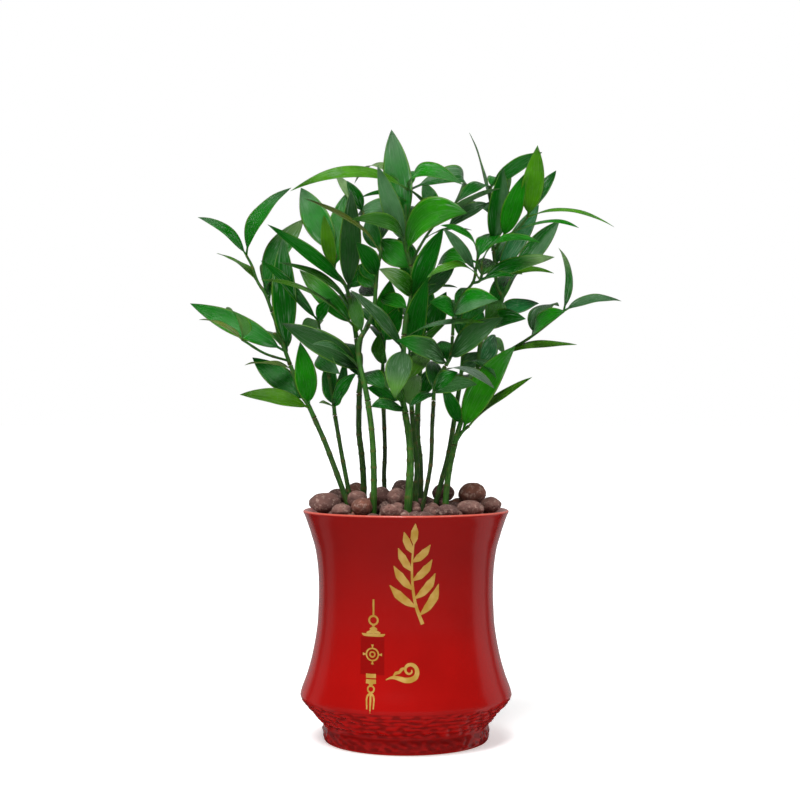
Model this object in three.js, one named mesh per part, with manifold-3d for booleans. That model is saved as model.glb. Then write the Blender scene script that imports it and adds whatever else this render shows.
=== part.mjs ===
// Potted nagi tree: a footed, bulging ceramic pot filled with growing medium and fired clay pebbles,
// with eleven slender seedlings whose opposite, leathery leaves fill one round crown.
// Millimetres, +Z up, front towards -Y. The origin is the middle of the pot's flat base.

import * as THREE from "three";
import { mergeVertices } from "three/addons/utils/BufferGeometryUtils.js";
import Module from "manifold-3d";

const wasm = await Module();
wasm.setup();
const { Manifold, Mesh: SolidMesh } = wasm;

// ---------------------------------------------------------------- driving dimensions
const rimRadius = 65.3;
const potHeight = 145.7;
const floorThickness = 9;
const potSides = 32;
const stemSides = 7;
const twigSides = 5;
const gap = 0.35;              // clearance between touching pieces
const mediumTop = 127;
const bedEdge = 142;           // pebble bed height against the wall
const bedCrown = 152;          // pebble bed height in the middle
const bedRings = 3;            // rings of faces in the bed's domed top
const stemFoot = 104;          // how deep the stems stand in the growing medium
const leafThickness = 0.9;
const petioleShare = 0.07;     // part of a leaf's length that is its stalk
const petioleRadius = 0.75;
const archedLeaf = 6;          // leaves that arch by this much take one more section
const leafCup = 0.16;          // how far the blade's edges rise, as a share of its half width

// ---------------------------------------------------------------- helpers
const vec = (p) => new THREE.Vector3(p[0], p[1], p[2]);

// A closed body through rings of points; a ring of one point is a tip.
function skin(rings) {
  const position = [];
  const index = [];
  const starts = [];
  for (const ring of rings) {
    starts.push(position.length / 3);
    for (const p of ring) {
      position.push(p.x, p.y, p.z);
    }
  }
  const last = rings.length - 1;
  for (let i = 0; i < last; i += 1) {
    const a = starts[i];
    const b = starts[i + 1];
    const count = rings[i].length;
    for (let j = 0; j < count; j += 1) {
      const k = (j + 1) % count;
      if (rings[i + 1].length === 1) {
        index.push(a + j, a + k, b);
      } else {
        index.push(a + j, a + k, b + k, a + j, b + k, b + j);
      }
    }
  }
  for (let j = 1; j < rings[0].length - 1; j += 1) {
    index.push(starts[0], starts[0] + j + 1, starts[0] + j);
  }
  for (let j = 1; j < rings[last].length - 1; j += 1) {
    index.push(starts[last], starts[last] + j, starts[last] + j + 1);
  }
  const geometry = new THREE.BufferGeometry();
  geometry.setAttribute("position", new THREE.Float32BufferAttribute(position, 3));
  geometry.setIndex(index);
  return geometry;
}

function toSolid(geometry) {
  const bare = geometry.clone();
  bare.deleteAttribute("normal");
  bare.deleteAttribute("uv");
  const merged = mergeVertices(bare, 1e-4);
  return new Manifold(new SolidMesh({
    numProp: 3,
    vertProperties: new Float32Array(merged.attributes.position.array),
    triVerts: new Uint32Array(merged.index.array),
  }));
}

function toGeometry(solid) {
  const mesh = solid.getMesh();
  const geometry = new THREE.BufferGeometry();
  geometry.setAttribute("position", new THREE.BufferAttribute(mesh.vertProperties, 3));
  geometry.setIndex(new THREE.BufferAttribute(mesh.triVerts, 1));
  geometry.computeVertexNormals();
  return geometry;
}

function largest(solid) {
  const bodies = solid.decompose();
  bodies.sort((a, b) => b.volume() - a.volume());
  return bodies[0];
}

function touching(a, b) {
  const p = a.boundingBox();
  const q = b.boundingBox();
  return [0, 1, 2].every((i) => p.min[i] <= q.max[i] && q.min[i] <= p.max[i]);
}

function cutAway(solid, tools) {
  return tools.reduce((body, tool) => (touching(body, tool) ? body.subtract(tool) : body), solid);
}

// A tapering round stem or twig through hand-set points.
function stemBody(twig, sides, grow) {
  const [footRadius, topRadius, ...points] = twig;
  const curve = new THREE.CatmullRomCurve3(points.map(vec), false, "centripetal");
  const steps = Math.max(2, (points.length - 1) * (points.length > 3 ? 1 : 2));
  const rings = [];
  for (let i = 0; i <= steps; i += 1) {
    const s = i / steps;
    const centre = curve.getPoint(s);
    const along = curve.getTangent(s);
    const u = new THREE.Vector3(0, 1, 0).cross(along).normalize();
    const v = along.clone().cross(u);
    const radius = footRadius + (topRadius - footRadius) * s + grow;
    const end = i === 0 ? -grow : (i === steps ? grow : 0);
    const ring = [];
    for (let j = 0; j < sides; j += 1) {
      const angle = (2 * Math.PI * j) / sides;
      ring.push(centre.clone().addScaledVector(along, end)
        .addScaledVector(u, radius * Math.cos(angle)).addScaledVector(v, radius * Math.sin(angle)));
    }
    rings.push(ring);
  }
  return toSolid(skin(rings));
}

// Half width of a blade at u, from its foot (0) to its tip (1): widest before the middle, long pointed tip.
const bladeShape = (u) => (u ** 0.75 * (1 - u)) / 0.3027;

// A leaf row is [foot x, y, z, tip x, y, z, width, arch, side bow, face x, y, z].
function leafBody(row, grow) {
  const foot = vec(row.slice(0, 3));
  const tip = vec(row.slice(3, 6));
  const [width, arch, bow] = row.slice(6, 9);
  const chord = tip.clone().sub(foot);
  const forward = chord.clone().normalize();
  const up = vec(row.slice(9, 12));
  up.addScaledVector(forward, -up.dot(forward)).normalize();
  const across = forward.clone().cross(up);
  const stations = arch < archedLeaf ? [0, petioleShare, 0.32, 0.7] : [0, petioleShare, 0.24, 0.5, 0.8];
  const rings = stations.map((s) => {
    const lift = 4 * s * (1 - s);
    const slope = 4 - 8 * s;
    const centre = foot.clone().addScaledVector(chord, s)
      .addScaledVector(up, arch * lift).addScaledVector(across, bow * lift);
    const along = chord.clone().addScaledVector(up, arch * slope);
    along.addScaledVector(across, bow * slope).normalize();
    const side = along.clone().cross(up).normalize();
    const normal = side.clone().cross(along);
    const u = Math.max(0, (s - petioleShare) / (1 - petioleShare));
    const half = Math.max(petioleRadius, (width / 2) * bladeShape(u)) + 1.2 * grow;
    const thick = (s <= petioleShare ? petioleRadius : leafThickness / 2) + grow;
    const lifted = centre.clone().addScaledVector(normal, s > petioleShare ? leafCup * half : 0);
    return [
      lifted.clone().addScaledVector(side, half),
      centre.clone().addScaledVector(normal, -thick),
      lifted.clone().addScaledVector(side, -half),
      centre.clone().addScaledVector(normal, thick),
    ];
  });
  rings.push([tip.clone().addScaledVector(forward, grow)]);
  return toSolid(skin(rings));
}

// ---------------------------------------------------------------- pot, medium and pebble bed
// Outer profile from the base up: foot, neck, undercut, ridge, waist, flared rim.
const potOuter = [
  [0, 0], [51.5, 0], [52.8, 3.5], [52.2, 10.3], [58, 18], [65.3, 25.6], [67, 29], [65.9, 33.2], [61.4, 46],
  [57.6, 64], [55.5, 86], [55.6, 102], [57.6, 121], [60.8, 132.6], [63.6, 141], [rimRadius, 144.5],
];
const potRimTop = [[64.2, potHeight], [62.4, 145.2]];
const potInner = [
  [60.2, 141], [54.2, 121], [52.1, 102], [52, 86], [54.1, 64], [57.9, 46], [61.4, 33],
    [60.9, 26.5], [52.5, 16],
  [47, floorThickness], [0, floorThickness],
];

function innerRadius(z) {
  for (let i = 1; i < potInner.length; i += 1) {
    const [r1, z1] = potInner[i - 1];
    const [r2, z2] = potInner[i];
    if (z <= z1 && z >= z2) {
      return z1 === z2 ? Math.max(r1, r2) : r2 + ((r1 - r2) * (z - z2)) / (z1 - z2);
    }
  }
  return potInner[0][0];
}

function turned(profile) {
  const geometry = new THREE.LatheGeometry(profile.map(([r, z]) => new THREE.Vector2(r, z)), potSides);
  geometry.rotateX(Math.PI / 2);
  const solid = toSolid(geometry);
  return solid.volume() < 0 ? toSolid(flipped(geometry)) : solid;
}

function flipped(geometry) {
  const turnedOver = geometry.clone();
  const index = turnedOver.index.array;
  for (let i = 0; i < index.length; i += 3) {
    [index[i], index[i + 1]] = [index[i + 1], index[i]];
  }
  return turnedOver;
}

function potBody() {
  return turned([...potOuter, ...potRimTop, ...potInner]);
}

function mediumBody() {
  const side = potInner.filter(([, z]) => z < mediumTop - 3 && z > floorThickness).reverse();
  const profile = [[0, floorThickness + gap], [46.2, floorThickness + gap]];
  for (const [r, z] of side) {
    profile.push([r - 0.8, z]);
  }
  profile.push([innerRadius(mediumTop) - 0.8, mediumTop], [0, mediumTop]);
  return turned(profile);
}

function bedBody(grow) {
  const low = mediumTop + gap;
  const profile = [[0, low], [innerRadius(low) - 0.8, low], [innerRadius(132.6) - 0.8, 132.6]];
  const edgeRadius = innerRadius(bedEdge) - 1;
  for (let i = 0; i <= bedRings; i += 1) {
    const share = i / bedRings;
    profile.push([edgeRadius * (1 - share), bedEdge + grow + (bedCrown - bedEdge) * (1 - (1 - share) ** 2)]);
  }
  return turned(profile);
}

// ---------------------------------------------------------------- proud clay pebbles
// Middle x, y, z, then length, depth and height, then a turn in degrees.
const pebbles = [
  [-50, -22, 151, 20, 17, 13.5, 10],
  [-27, -38, 149.5, 14, 12, 11, 35],
  [-39.5, -36, 147, 13, 10, 9, -20],
  [-30.5, -20, 153, 13, 12, 12, 15],
  [-44, 6, 153, 14, 13, 11, 60],
  [-16, -14, 154.6, 14, 13, 12.5, 0],
  [-33, 26, 155.5, 15, 14, 12, 20],
  [-5.6, -24, 154.5, 13, 12, 12.5, 40],
  [-8.5, -50, 147.4, 15, 10, 9, 0],
  [-1, 8, 157.8, 17, 15, 13, 10],
  [24, 12, 155.5, 15, 14, 12, -30],
  [42, -6, 156, 17.6, 16, 14.5, 0],
  [39.5, -34, 148.5, 17, 13, 10, 12],
  [53, -17, 149.6, 13.5, 12, 10, -25],
  [25, -49, 147, 14.5, 10, 9.5, -8],
  [5, 42, 152, 16, 14, 12, 30],
];

function pebbleBody([x, y, z, length, depth, height, turn], number, grow) {
  const geometry = mergeVertices(stripped(new THREE.IcosahedronGeometry(1, 1)), 1e-4);
  const position = geometry.attributes.position;
  for (let i = 0; i < position.count; i += 1) {
    const p = new THREE.Vector3().fromBufferAttribute(position, i);
    const lumps = 1 + 0.05 * Math.sin(3.1 * p.x + number)
      + 0.05 * Math.sin(2.7 * p.y - 2 * number + 2 * p.z);
    p.multiplyScalar(lumps);
    p.multiply(new THREE.Vector3(length / 2 + grow, depth / 2 + grow, height / 2 + grow));
    position.setXYZ(i, p.x, p.y, p.z);
  }
  geometry.rotateZ(THREE.MathUtils.degToRad(turn));
  geometry.translate(x, y, z);
  return toSolid(geometry);
}

function stripped(geometry) {
  const bare = geometry.clone();
  bare.deleteAttribute("normal");
  bare.deleteAttribute("uv");
  return bare;
}

// ---------------------------------------------------------------- bare stems
// Radius at the foot, radius at the top, then the points from below the pebbles up to the first leaves.
const stems = [
  [1.9, 1.5, [-30, -22, stemFoot], [-33.5, -21, 142], [-37, -19.5, 152], [-45.7, -18, 175.5],
    [-51.2, -16.5, 189.8],
    [-57.5, -14, 203.5]],
  [1.6, 1.3, [-32, -13, stemFoot], [-34, -13, 142], [-35.8, -12, 155.6], [-40.6, -9, 181.2], [-45, -5, 205]],
  [2.1, 1.7, [-26, 9, stemFoot], [-27, 8, 142], [-27.4, 7, 166], [-28.4, 5, 181], [-30.1, 3, 195],
    [-29.8, 1, 219]],
  [2, 1.7, [-20, -36, stemFoot], [-20, -35, 142], [-19.7, -34, 164], [-20, -33, 180.6], [-21.3, -31.5, 197],
    [-23.5, -29, 214]],
  [1.5, 1.3, [-13, 4, stemFoot], [-13, 5, 142], [-14, 8, 166], [-13.6, 12, 180], [-13.9, 16, 195],
    [-15.1, 20, 225]],
  [2.6, 1.9, [0, -39, stemFoot], [0.8, -38, 142], [2.4, -36, 166], [2.7, -34, 180.8], [1.5, -31, 195],
    [-0.3, -29.5, 206.5]],
  [1.8, 1.5, [6, -28, stemFoot], [6, -28, 142], [6.1, -26, 159], [6.9, -22, 173], [4.9, -18, 194],
    [3.8, -16, 207]],
  [2.1, 1.8, [9, -8, stemFoot], [9, -8, 142], [8.7, 0, 177], [7.4, 3, 190], [7.3, 5, 205]],
  [1.4, 1.2, [7.5, -37, stemFoot], [9, -37, 142], [11.8, -37, 157], [15.3, -37.5, 177], [16.1, -38, 200],
    [16.9, -38, 214]],
  [1.7, 1.5, [15, -20, stemFoot], [17, -18, 142], [21, -16, 159.5], [26.5, -11, 179.3], [29.6, -8, 197],
    [32.1, -6, 212.5]],
  [2, 1.7, [23, -29, stemFoot], [24.2, -28, 146], [25.3, -26, 160], [27.4, -24, 174], [30.1, -21.5, 186.5]],
];

// ---------------------------------------------------------------- leafy twigs
// Each spray has its twigs, written as the stems are, and its leaf rows.
const sprays = [
  ["leaf_spray_01_low", [
    [1.5, 1.3, [-57.7, -13.9, 204], [-62.5, -12, 213.9], [-67.2, -11, 220.8], [-71, -9, 231.8],
      [-73, -8, 237]],
  ], [
    [-60.2, -13, 209.9, -103.4, -25, 218.4, 13, 4, 0, 0, -0.75, 0.65],
    [-62.5, -12, 213.9, -98.5, 5, 242.7, 16, 2, 0, 0.2, -1, 0.3],
    [-72.4, -8, 235.5, -100.1, -28, 236.6, 10, 2, 0, 0, 0.1, 1],
    [-60.8, -13, 211.5, -65.5, -30, 251.1, 14, 3, 0, 0.1, -1, 0.25],
    [-63, -12, 214.5, -82, 34, 218, 15, 8, 0, 0, -0.3, 1],
  ]],
  ["leaf_spray_01_mid", [
    [1.3, 1.1, [-73.2, -8, 237.6], [-78.2, -6, 250.7], [-80.6, -5, 255.7], [-82.7, -4, 264.8],
      [-85, -3.5, 271]],
    [0.8, 0.8, [-74, -7, 240], [-88.6, -16, 244.4], [-102, -24, 252.8]],
    [1.3, 1.1, [-79, -6, 251], [-83.5, -9, 257.5]],
  ], [
    [-75.5, -6, 246, -77.8, -8, 318.6, 16, 3, 0, -0.1, -1, 0],
    [-76.5, -6, 246, -139, 8, 277.6, 15, 4, 0, 0.1, -1, 0.3],
    [-102, -24, 252.8, -108.5, -56, 270, 15, 5, 0, 0.2, -0.6, 0.8],
    [-102, -24, 252.8, -130.7, -10, 265.9, 11, 3, 0, -0.3, 0.1, 1],
    [-75.5, -6.5, 245, -92, 40, 256, 15, 8, 0, 0.2, -0.4, 1],
  ]],
  ["leaf_spray_01_top", [
    [1.1, 0.8, [-85.2, -3.4, 271.6], [-89.8, -2, 283.3], [-94.6, -1, 290.9], [-98.5, 0, 301.5],
      [-101.8, 0, 307.5]],
  ], [
    [-94.8, -1, 291, -124, 25, 311.6, 10, 3, 0, 0.5, -0.4, 0.75],
    [-90, -2, 284, -66.3, 20, 333.5, 19, 7, 0, -0.45, -0.85, 0.3],
    [-101.8, 0, 307.5, -131.4, -12, 330.5, 12, 5, 0, 0.3, -0.6, 0.7],
    [-101.8, 0, 307.5, -73.7, 10, 352.5, 15, 9, 0, -0.6, -0.75, 0.3],
    [-87, -3, 277, -78, 42, 312, 14, 7, 0, -0.3, -0.5, 1],
    [-90.5, -2, 285, -90, 46, 300, 15, 9, 0, 0.3, -0.3, 1],
  ]],
  ["leaf_spray_02_low", [
    [1.3, 1.1, [-45.1, -4.8, 205.6], [-46, -4, 214], [-49, -1.5, 230]],
  ], [
    [-45.4, -4.5, 210.5, -47.6, 12, 242.5, 13, 3, 0, -0.5, -0.8, 0],
    [-45.4, -4.5, 210.5, -30.8, -22, 231.9, 12, 3, 0, -0.5, -0.8, 0.3],
    [-45.6, -4.2, 212, -39.4, 10, 240.4, 9, 2, 0, 0.6, -0.6, 0.2],
    [-45.4, -4.5, 210.5, -54.5, -18, 213.4, 5, 1, 0, 0, -0.7, 0.7],
  ]],
  ["leaf_spray_02_top", [
    [1.1, 0.8, [-49.1, -1.4, 230.6], [-53, 1, 249], [-56.2, 4, 266.2]],
  ], [
    [-52.8, 1, 248, -41, -25, 231.3, 15, 6, 0, -0.6, -0.8, 0.1],
    [-56.2, 4, 266.2, -90.4, -26, 301.8, 11, 2, 0, 0.4, -0.7, 0.5],
    [-56.2, 4, 266.2, -47.3, -15, 278.9, 9, 2, 0, 0, -1, 0.3],
    [-55.9, 4, 265, -66, 44, 254, 13, 6, 0, 0, 0.1, 1],
  ]],
  ["leaf_spray_03_low", [
    [1.7, 1.5, [-29.8, 1, 219.6], [-28.6, -1, 232], [-30, -2, 240], [-31.4, -4, 254]],
  ], [
    [-29, -2, 234, -76.3, -40, 262.1, 17, 4, 0, 0.1, -1, 0.35],
    [-28.6, -1.5, 233, -56.8, -52, 248.6, 12, 5, 0, 0.3, -0.55, 0.8],
    [-28.6, -1.5, 232, -13, -33, 221.5, 15, 3, 0, 0.3, -1, 0.1],
    [-29, -2, 236, -21.8, -30, 266.6, 11, 2, 0, -0.9, -0.25, 0.3],
    [-29, -1, 230, -54, 44, 256, 15, 8, 0, 0.2, -0.5, 1],
    [-29, 0, 228, -38, 48, 246, 13, 8, 0, -0.2, -0.4, 1],
  ]],
  ["leaf_spray_03_mid", [
    [1.5, 1.3, [-31.5, -4.1, 254.6], [-33, -5, 264], [-35, -6, 275], [-36, -6.5, 280]],
  ], [
    [-33, -5, 262, -89.7, -36, 288.9, 11, 7, 0, 0.3, -0.35, 0.9],
    [-34, -5.5, 270, -79.2, -28, 300.3, 11, 8, 0, 0.4, -0.5, 0.8],
    [-33, -5, 262, -68.5, 8, 299.2, 13, 3, 0, 0, -1, 0.1],
    [-32, -4.5, 258, -28, -14, 268, 4, 1, 0, 0, -1, 0.2],
    [-33.2, -5, 264, -46, 52, 284, 15, 9, 0, 0.1, -0.5, 1],
  ]],
  ["leaf_spray_03_top", [
    [1.3, 0.9, [-36.1, -6.6, 280.6], [-37.5, -7, 286], [-41, -8, 292], [-45.5, -9, 298], [-44, -8, 307]],
  ], [
    [-38, -7, 287, -85.7, -32, 323.6, 13, 2, 0, -0.2, -0.6, 0.6],
    [-36.7, -7, 284, -34.2, -22, 346.8, 14, 3, 0, 0.15, -1, -0.05],
    [-45.3, -9, 297, -38.2, 8, 348.9, 16, 3, 0, -0.2, -1, 0],
    [-45.6, -9, 298, -51.2, -24, 330.7, 9, 2, 0, -0.2, -1, 0.2],
    [-44, -8, 307, -68, 14, 353, 18, 4, 0, -0.3, -0.9, 0.2],
    [-45.3, -9, 300, -58, 44, 335, 15, 9, 0, 0.3, -0.5, 1],
    [-37, -7, 285, -18, 10, 304, 13, 3, 0, 0, -1, 0.2],
  ]],
  ["leaf_spray_04_low", [
    [1.7, 1.4, [-23.7, -28.8, 214.6], [-26, -27.5, 226], [-29, -25, 240], [-29.3, -23.5, 251],
      [-24, -21.5, 261]],
  ], [
    [-25.4, -27.8, 223, -5, -10, 214.9, 9, 2, 0, 0.2, -1, 0.3],
    [-27, -22.5, 256.5, -34, 2, 283, 10, 3, 0, -0.3, -1, 0.2],
  ]],
  ["leaf_spray_04_mid", [
    [1.4, 1.2, [-23.7, -21.3, 261.6], [-20, -19.5, 272], [-19, -18, 285], [-18, -16, 298]],
  ], [
    [-19, -18, 280, -29, 8, 288.7, 10, 2, 0, 0, -1, 0],
    [-19, -18, 285, -30, -2, 296, 11, 2, 0, 0, -1, 0.2],
    [-18.6, -17, 288, -27, 6, 303, 12, 3, 0, 0, -1, 0.2],
    [-18.4, -16.6, 293, -31, -28, 313, 13, 3, 0, 0.3, -1, 0.2],
  ]],
  ["leaf_spray_04_top", [
    [1.2, 1, [-18, -15.9, 298.6], [-16, -14, 310], [-22, -6, 325], [-28, 2, 336]],
  ], [
    [-16.2, -14, 308, -61.9, -40, 338.4, 11, 5, 0, 0.5, -0.35, 0.75],
    [-16, -14, 309, -25, -2, 330.8, 12, 2, 0, -0.3, -0.9, 0],
    [-28, 2, 336, -45.7, 15, 362.3, 7, 2, 0, 0, -1, 0.3],
    [-28, 2, 336, -37.7, -8, 354.3, 9, 2, 0, 0.2, -1, 0.1],
    [-17, -12, 312, -8, 40, 330, 15, 8, 0, -0.2, -0.5, 1],
  ]],
  ["leaf_spray_05", [
    [1.3, 1, [-15.1, 20.1, 225.6], [-15, 23, 240], [-14, 28, 256]],
  ], [
    [-14.9, 23, 238, -17, 2, 258.1, 11, 2, 0, -0.3, -1, 0.3],
    [-14, 28, 256, -10, -2, 292, 17, 2, 0, 0, -1, 0.3],
    [-14, 28, 256, -38, 66, 276, 15, 9, 0, 0.2, -0.5, 1],
    [-14, 28, 256, 4, 58, 268, 14, 9, 0, -0.1, -0.3, 1],
    [-14.3, 26, 251, -22, 72, 262, 15, 8, 0, 0, -0.1, 1],
    [-14, 27.5, 254, -2, 6, 277, 13, 3, 0, 0, -1, 0.2],
  ]],
  ["leaf_spray_06_low", [
    [1.9, 1.6, [-0.4, -29.4, 207.1], [-2.3, -28, 216], [-2.8, -26, 230], [-1.5, -24, 246], [-1.3, -23, 255]],
  ], [
    [-2, -24, 246, -34.2, -36, 282.6, 10.5, 4, 0, 0.45, -0.8, 0.4],
    [-1.8, -24, 247, -6.9, -52, 215.7, 17, 3, 0, 0, -0.75, 0.65],
    [-0.8, -29, 209.5, -21.2, -50, 210.7, 13, 2, 0, 0, -0.75, 0.65],
    [-1.5, -28, 213, -8, -40, 224, 7, 1, 0, 0.4, -1, 0.3],
    [-1.4, -23.2, 253, 47.5, -60, 261.2, 10, 5, 0, -0.2, -0.35, 0.9],
  ]],
  ["leaf_spray_06_mid", [
    [1.6, 1.4, [-1.2, -22.9, 255.6], [0, -21, 265], [3.4, -18, 280], [4.4, -16.5, 290], [3.2, -16, 299]],
  ], [
    [3.3, -18, 279, 22.9, -46, 319.4, 14, 2, 0, -0.3, -0.95, 0],
    [3.5, -18, 281, -16.6, -50, 294.3, 14, 5, 0, 0.2, -1, 0.25],
    [3.6, -16.2, 297, -17, 2, 318, 17, 2, 0, 0, -1, 0],
    [2.5, -19, 277, 31, 0, 300, 12, 2, 0, 0, -1, 0.1],
    [3.7, -18, 283, 33, 0, 287, 7, 2, 0, -0.3, 0.15, 0.95],
    [3.8, -16.5, 294, 12, 46, 300, 15, 8, 0, -0.3, -0.2, 1],
    [1.7, -19.6, 272, -16, 6, 281, 11, 3, 0, 0, -1, 0.3],
    [3.9, -17, 288, -4, 18, 322, 15, 4, 0, 0, -1, 0.3],
  ]],
  ["leaf_spray_06_high", [
    [1.4, 1.1, [3.1, -16, 299.6], [0.5, -15, 308], [-1, -14.5, 314], [-0.3, -12.3, 325.5]],
    [0.9, 0.8, [3, -16, 301], [12, -5, 318], [20, 5, 330]],
  ], [
    [-0.6, -12.8, 323, -9.3, 4, 388.9, 18, 2, 0, -0.1, -1, 0],
    [-1, -14.6, 313, -17.6, -38, 359.2, 12.5, 3, 0, -0.1, -1, 0.2],
    [-1, -14.6, 313, -33.4, -45, 324.9, 13, 10, 0, 0.3, -0.8, 0.5],
    [0.6, -15, 307, 37.2, -50, 328, 22, 6, -11, -0.2, -1, 0.35],
    [20, 5, 330, 11.1, 10, 356.5, 11, 2, 0, 0.2, -1, 0],
    [20, 5, 329, 59.3, -20, 347.4, 9, 3, 0, 0.3, -0.1, 0.9],
    [12, -5, 318, 41.6, -15, 321.9, 8, 3, 0, 0, -0.3, 1],
    [20, 5, 330, -3.9, -25, 349.8, 8, 2, 0, 0.6, 0.1, 0.75],
    [0, -12.5, 322, 14, 50, 335, 15, 10, 0, 0.2, -0.3, 1],
  ]],
  ["leaf_spray_06_top", [
    [1.1, 0.8, [-0.3, -12.1, 326.1], [0.3, -10, 338], [1.5, -8, 348]],
  ], [
    [1.5, -8, 348, -70.9, -42, 342.5, 11, 15, 0, 0, -0.8, 0.6],
    [1.5, -8, 348, -33.8, 25, 357.2, 10, 14, 0, 0, -0.4, 0.9],
    [0.5, -9.5, 341, -28.4, -20, 341.7, 8, 4, 0, 0.5, -0.3, 0.8],
    [0, -10.5, 335, -31.3, 10, 334.3, 12, 7, 0, 0, -0.9, 0.4],
    [1.5, -8, 348, 29.9, 30, 342, 15, 26, 0, 0.2, -0.9, 0.5],
    [1.5, -8, 347, 35.1, -38, 346.9, 15, 15, 0, -0.1, -0.8, 0.6],
    [1.4, -8, 347, -6, 48, 364, 15, 8, 0, 0.1, -0.5, 1],
  ]],
  ["leaf_spray_07", [
    [1.5, 1.1, [3.8, -15.9, 207.6], [2.5, -10, 225], [1.6, -4, 244]],
  ], [
    [1.6, -4, 243, 13.5, -34, 290, 15, 3, 0, -0.2, -0.95, 0.2],
    [3.6, -15, 209.5, 5.7, -48, 229.8, 15, 4, 0, 0, -0.75, 0.65],
    [2, -7, 234, -18, 42, 216, 14, 7, 0, 0, 0.1, 1],
    [1.7, -4.5, 241, 26, -18, 264, 8, 2, 0, -0.3, -0.8, 0.5],
  ]],
  ["leaf_spray_08", [
    [1.8, 1.2, [7.3, 5.1, 205.6], [8.6, 10, 225], [9.8, 16, 242], [15.3, 28, 262]],
  ], [
    [12.2, 21, 247.5, 0, -20, 226, 15, 4, 0, 0, -1, 0.3],
    [15.3, 28, 262, 8, 62, 292, 15, 9, 0, -0.1, -0.6, 1],
    [15.3, 28, 262, 44, 60, 280, 14, 8, 0, -0.2, -0.5, 1],
    [12, 21, 251, -10, 60, 280, 15, 9, 0, 0.2, -0.5, 1],
    [8, 7, 213, 24, 48, 236, 13, 6, 0, 0, -0.3, 1],
    [14, 25.5, 258, 26, 6, 285, 15, 3, 0, 0, -1, 0.2],
  ]],
  ["leaf_spray_09_low", [
    [1.2, 1.1, [16.9, -38, 214.6], [17.3, -38, 221], [19.5, -38, 229], [24, -38, 235.5]],
  ], [
    [17.2, -38, 219, 2.4, -52, 210.7, 9, 2, 0, 0, -0.5, 0.85],
    [20.5, -38, 231, 52.3, -74, 221.2, 11, 7, 0, 0.1, -0.35, 0.95],
    [17.4, -38, 220, 42.2, -72, 223.6, 14, 3, 0, -0.1, -0.85, 0.5],
    [17.6, -38, 221.5, 31.2, -55, 231.5, 12, 2, 0, -0.2, -0.9, 0.4],
    [17.3, -38, 220, 16, -5, 240, 11, 3, 0, 0.2, -1, 0.3],
  ]],
  ["leaf_spray_09_mid", [
    [1.1, 1, [24.4, -38, 236], [27.5, -37.5, 242], [28.6, -36, 254]],
  ], [
    [24.8, -38, 237, -5.6, -66, 250.1, 17, 4, 0, 0.1, -0.85, 0.5],
    [25.5, -38, 238.5, 21.8, -10, 252.5, 12, 2, 0, 0, -1, 0.3],
    [26.5, -38, 240, 58.2, -62, 264.1, 16, 4, 0, -0.15, -0.9, 0.4],
  ]],
  ["leaf_spray_09_high", [
    [1, 0.9, [28.7, -35.9, 254.6], [29.4, -35, 267], [31, -34, 273], [36, -33, 281]],
  ], [
    [29.4, -35, 266, 14.2, -62, 273, 15, 4, 0, 0.2, -0.9, 0.4],
    [30, -34.8, 268.5, 24, -5, 278, 9, 3, 0, 0, -0.6, 0.8],
    [29.8, -34.8, 268, 55.1, -66, 274.1, 18, 6, 0, -0.25, -0.85, 0.45],
    [30.5, -34.4, 271, 38.7, -8, 286.3, 9, 2, 0, 0, -1, 0.2],
  ]],
  ["leaf_spray_09_top", [
    [0.9, 0.8, [36.4, -32.9, 281.6], [41.5, -31.5, 288], [44.2, -30, 302]],
    [0.9, 0.8, [40.5, -31.7, 287], [46, -30.5, 289], [47, -29.5, 301]],
  ], [
    [46, -30.5, 289, 90.4, -48, 301.6, 13, 3, 0, -0.1, -0.75, 0.6],
    [46, -30.5, 289, 91.7, -30, 293.3, 11, 4, 0, -0.2, -0.5, 0.85],
    [45.5, -30.6, 288.5, 65.2, -55, 289.1, 9, 2, 0, 0, -0.6, 0.8],
    [46.2, -30.3, 291, 54, 0, 305, 13, 2, 0, 0, -1, 0.3],
    [47, -29.5, 301, 81.3, -55, 309.4, 11, 9, 0, -0.2, -0.5, 0.85],
    [44.2, -30, 302, 20.7, -58, 319.7, 10, 7, 0, 0.55, -0.5, 0.65],
    [43, -30.8, 295, 22.3, -50, 319, 9, 1, 0, 0.5, -0.8, 0.2],
    [44, -30.2, 300, 19.8, -12, 298.9, 14, 8, 0, 0, -0.85, 0.5],
    [46, -30.5, 289, 12.3, -52, 288.4, 11, 9, 0, 0.1, -0.45, 0.9],
    [44.2, -30, 302, 60, 12, 322, 13, 5, 0, 0, -0.4, 1],
  ]],
  ["leaf_spray_10", [
    [1.5, 1, [32.2, -5.9, 213.1], [34.2, -4, 225], [35.8, 0, 239], [36.5, 2, 250]],
  ], [
    [35.6, 0, 238, 55.6, -36, 227.9, 10, 6, 0, 0.1, -0.4, 0.9],
    [34.9, -2, 232, 46.7, 15, 246.6, 11, 2, 0, 0, -1, 0.2],
    [36.5, 2, 250, 58, 50, 284, 15, 9, 0, -0.2, -0.5, 1],
    [36.5, 2, 250, 37, 46, 284, 14, 5, 0, 0, -0.5, 1],
    [36.3, 1, 247, 66, 48, 246, 14, 10, 0, 0, -0.2, 1],
    [34.2, -4, 225, 44, 45, 222, 14, 8, 0, 0, 0, 1],
    [36.2, 0.8, 245, 50, 10, 272, 13, 3, 0, 0, -1, 0.2],
  ]],
  ["leaf_spray_11_low", [
    [1.7, 1.3, [30.2, -21.4, 187.1], [33, -19, 197], [39, -14, 215], [45, -8.5, 234]],
    [1.1, 1, [30.4, -21.3, 188], [35.3, -20.3, 195.5], [39.2, -19.5, 198.8]],
  ], [
    [35.3, -20.3, 195.5, 67.8, -30, 248.6, 18, 3, -3, -0.15, -0.95, 0.3],
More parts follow.
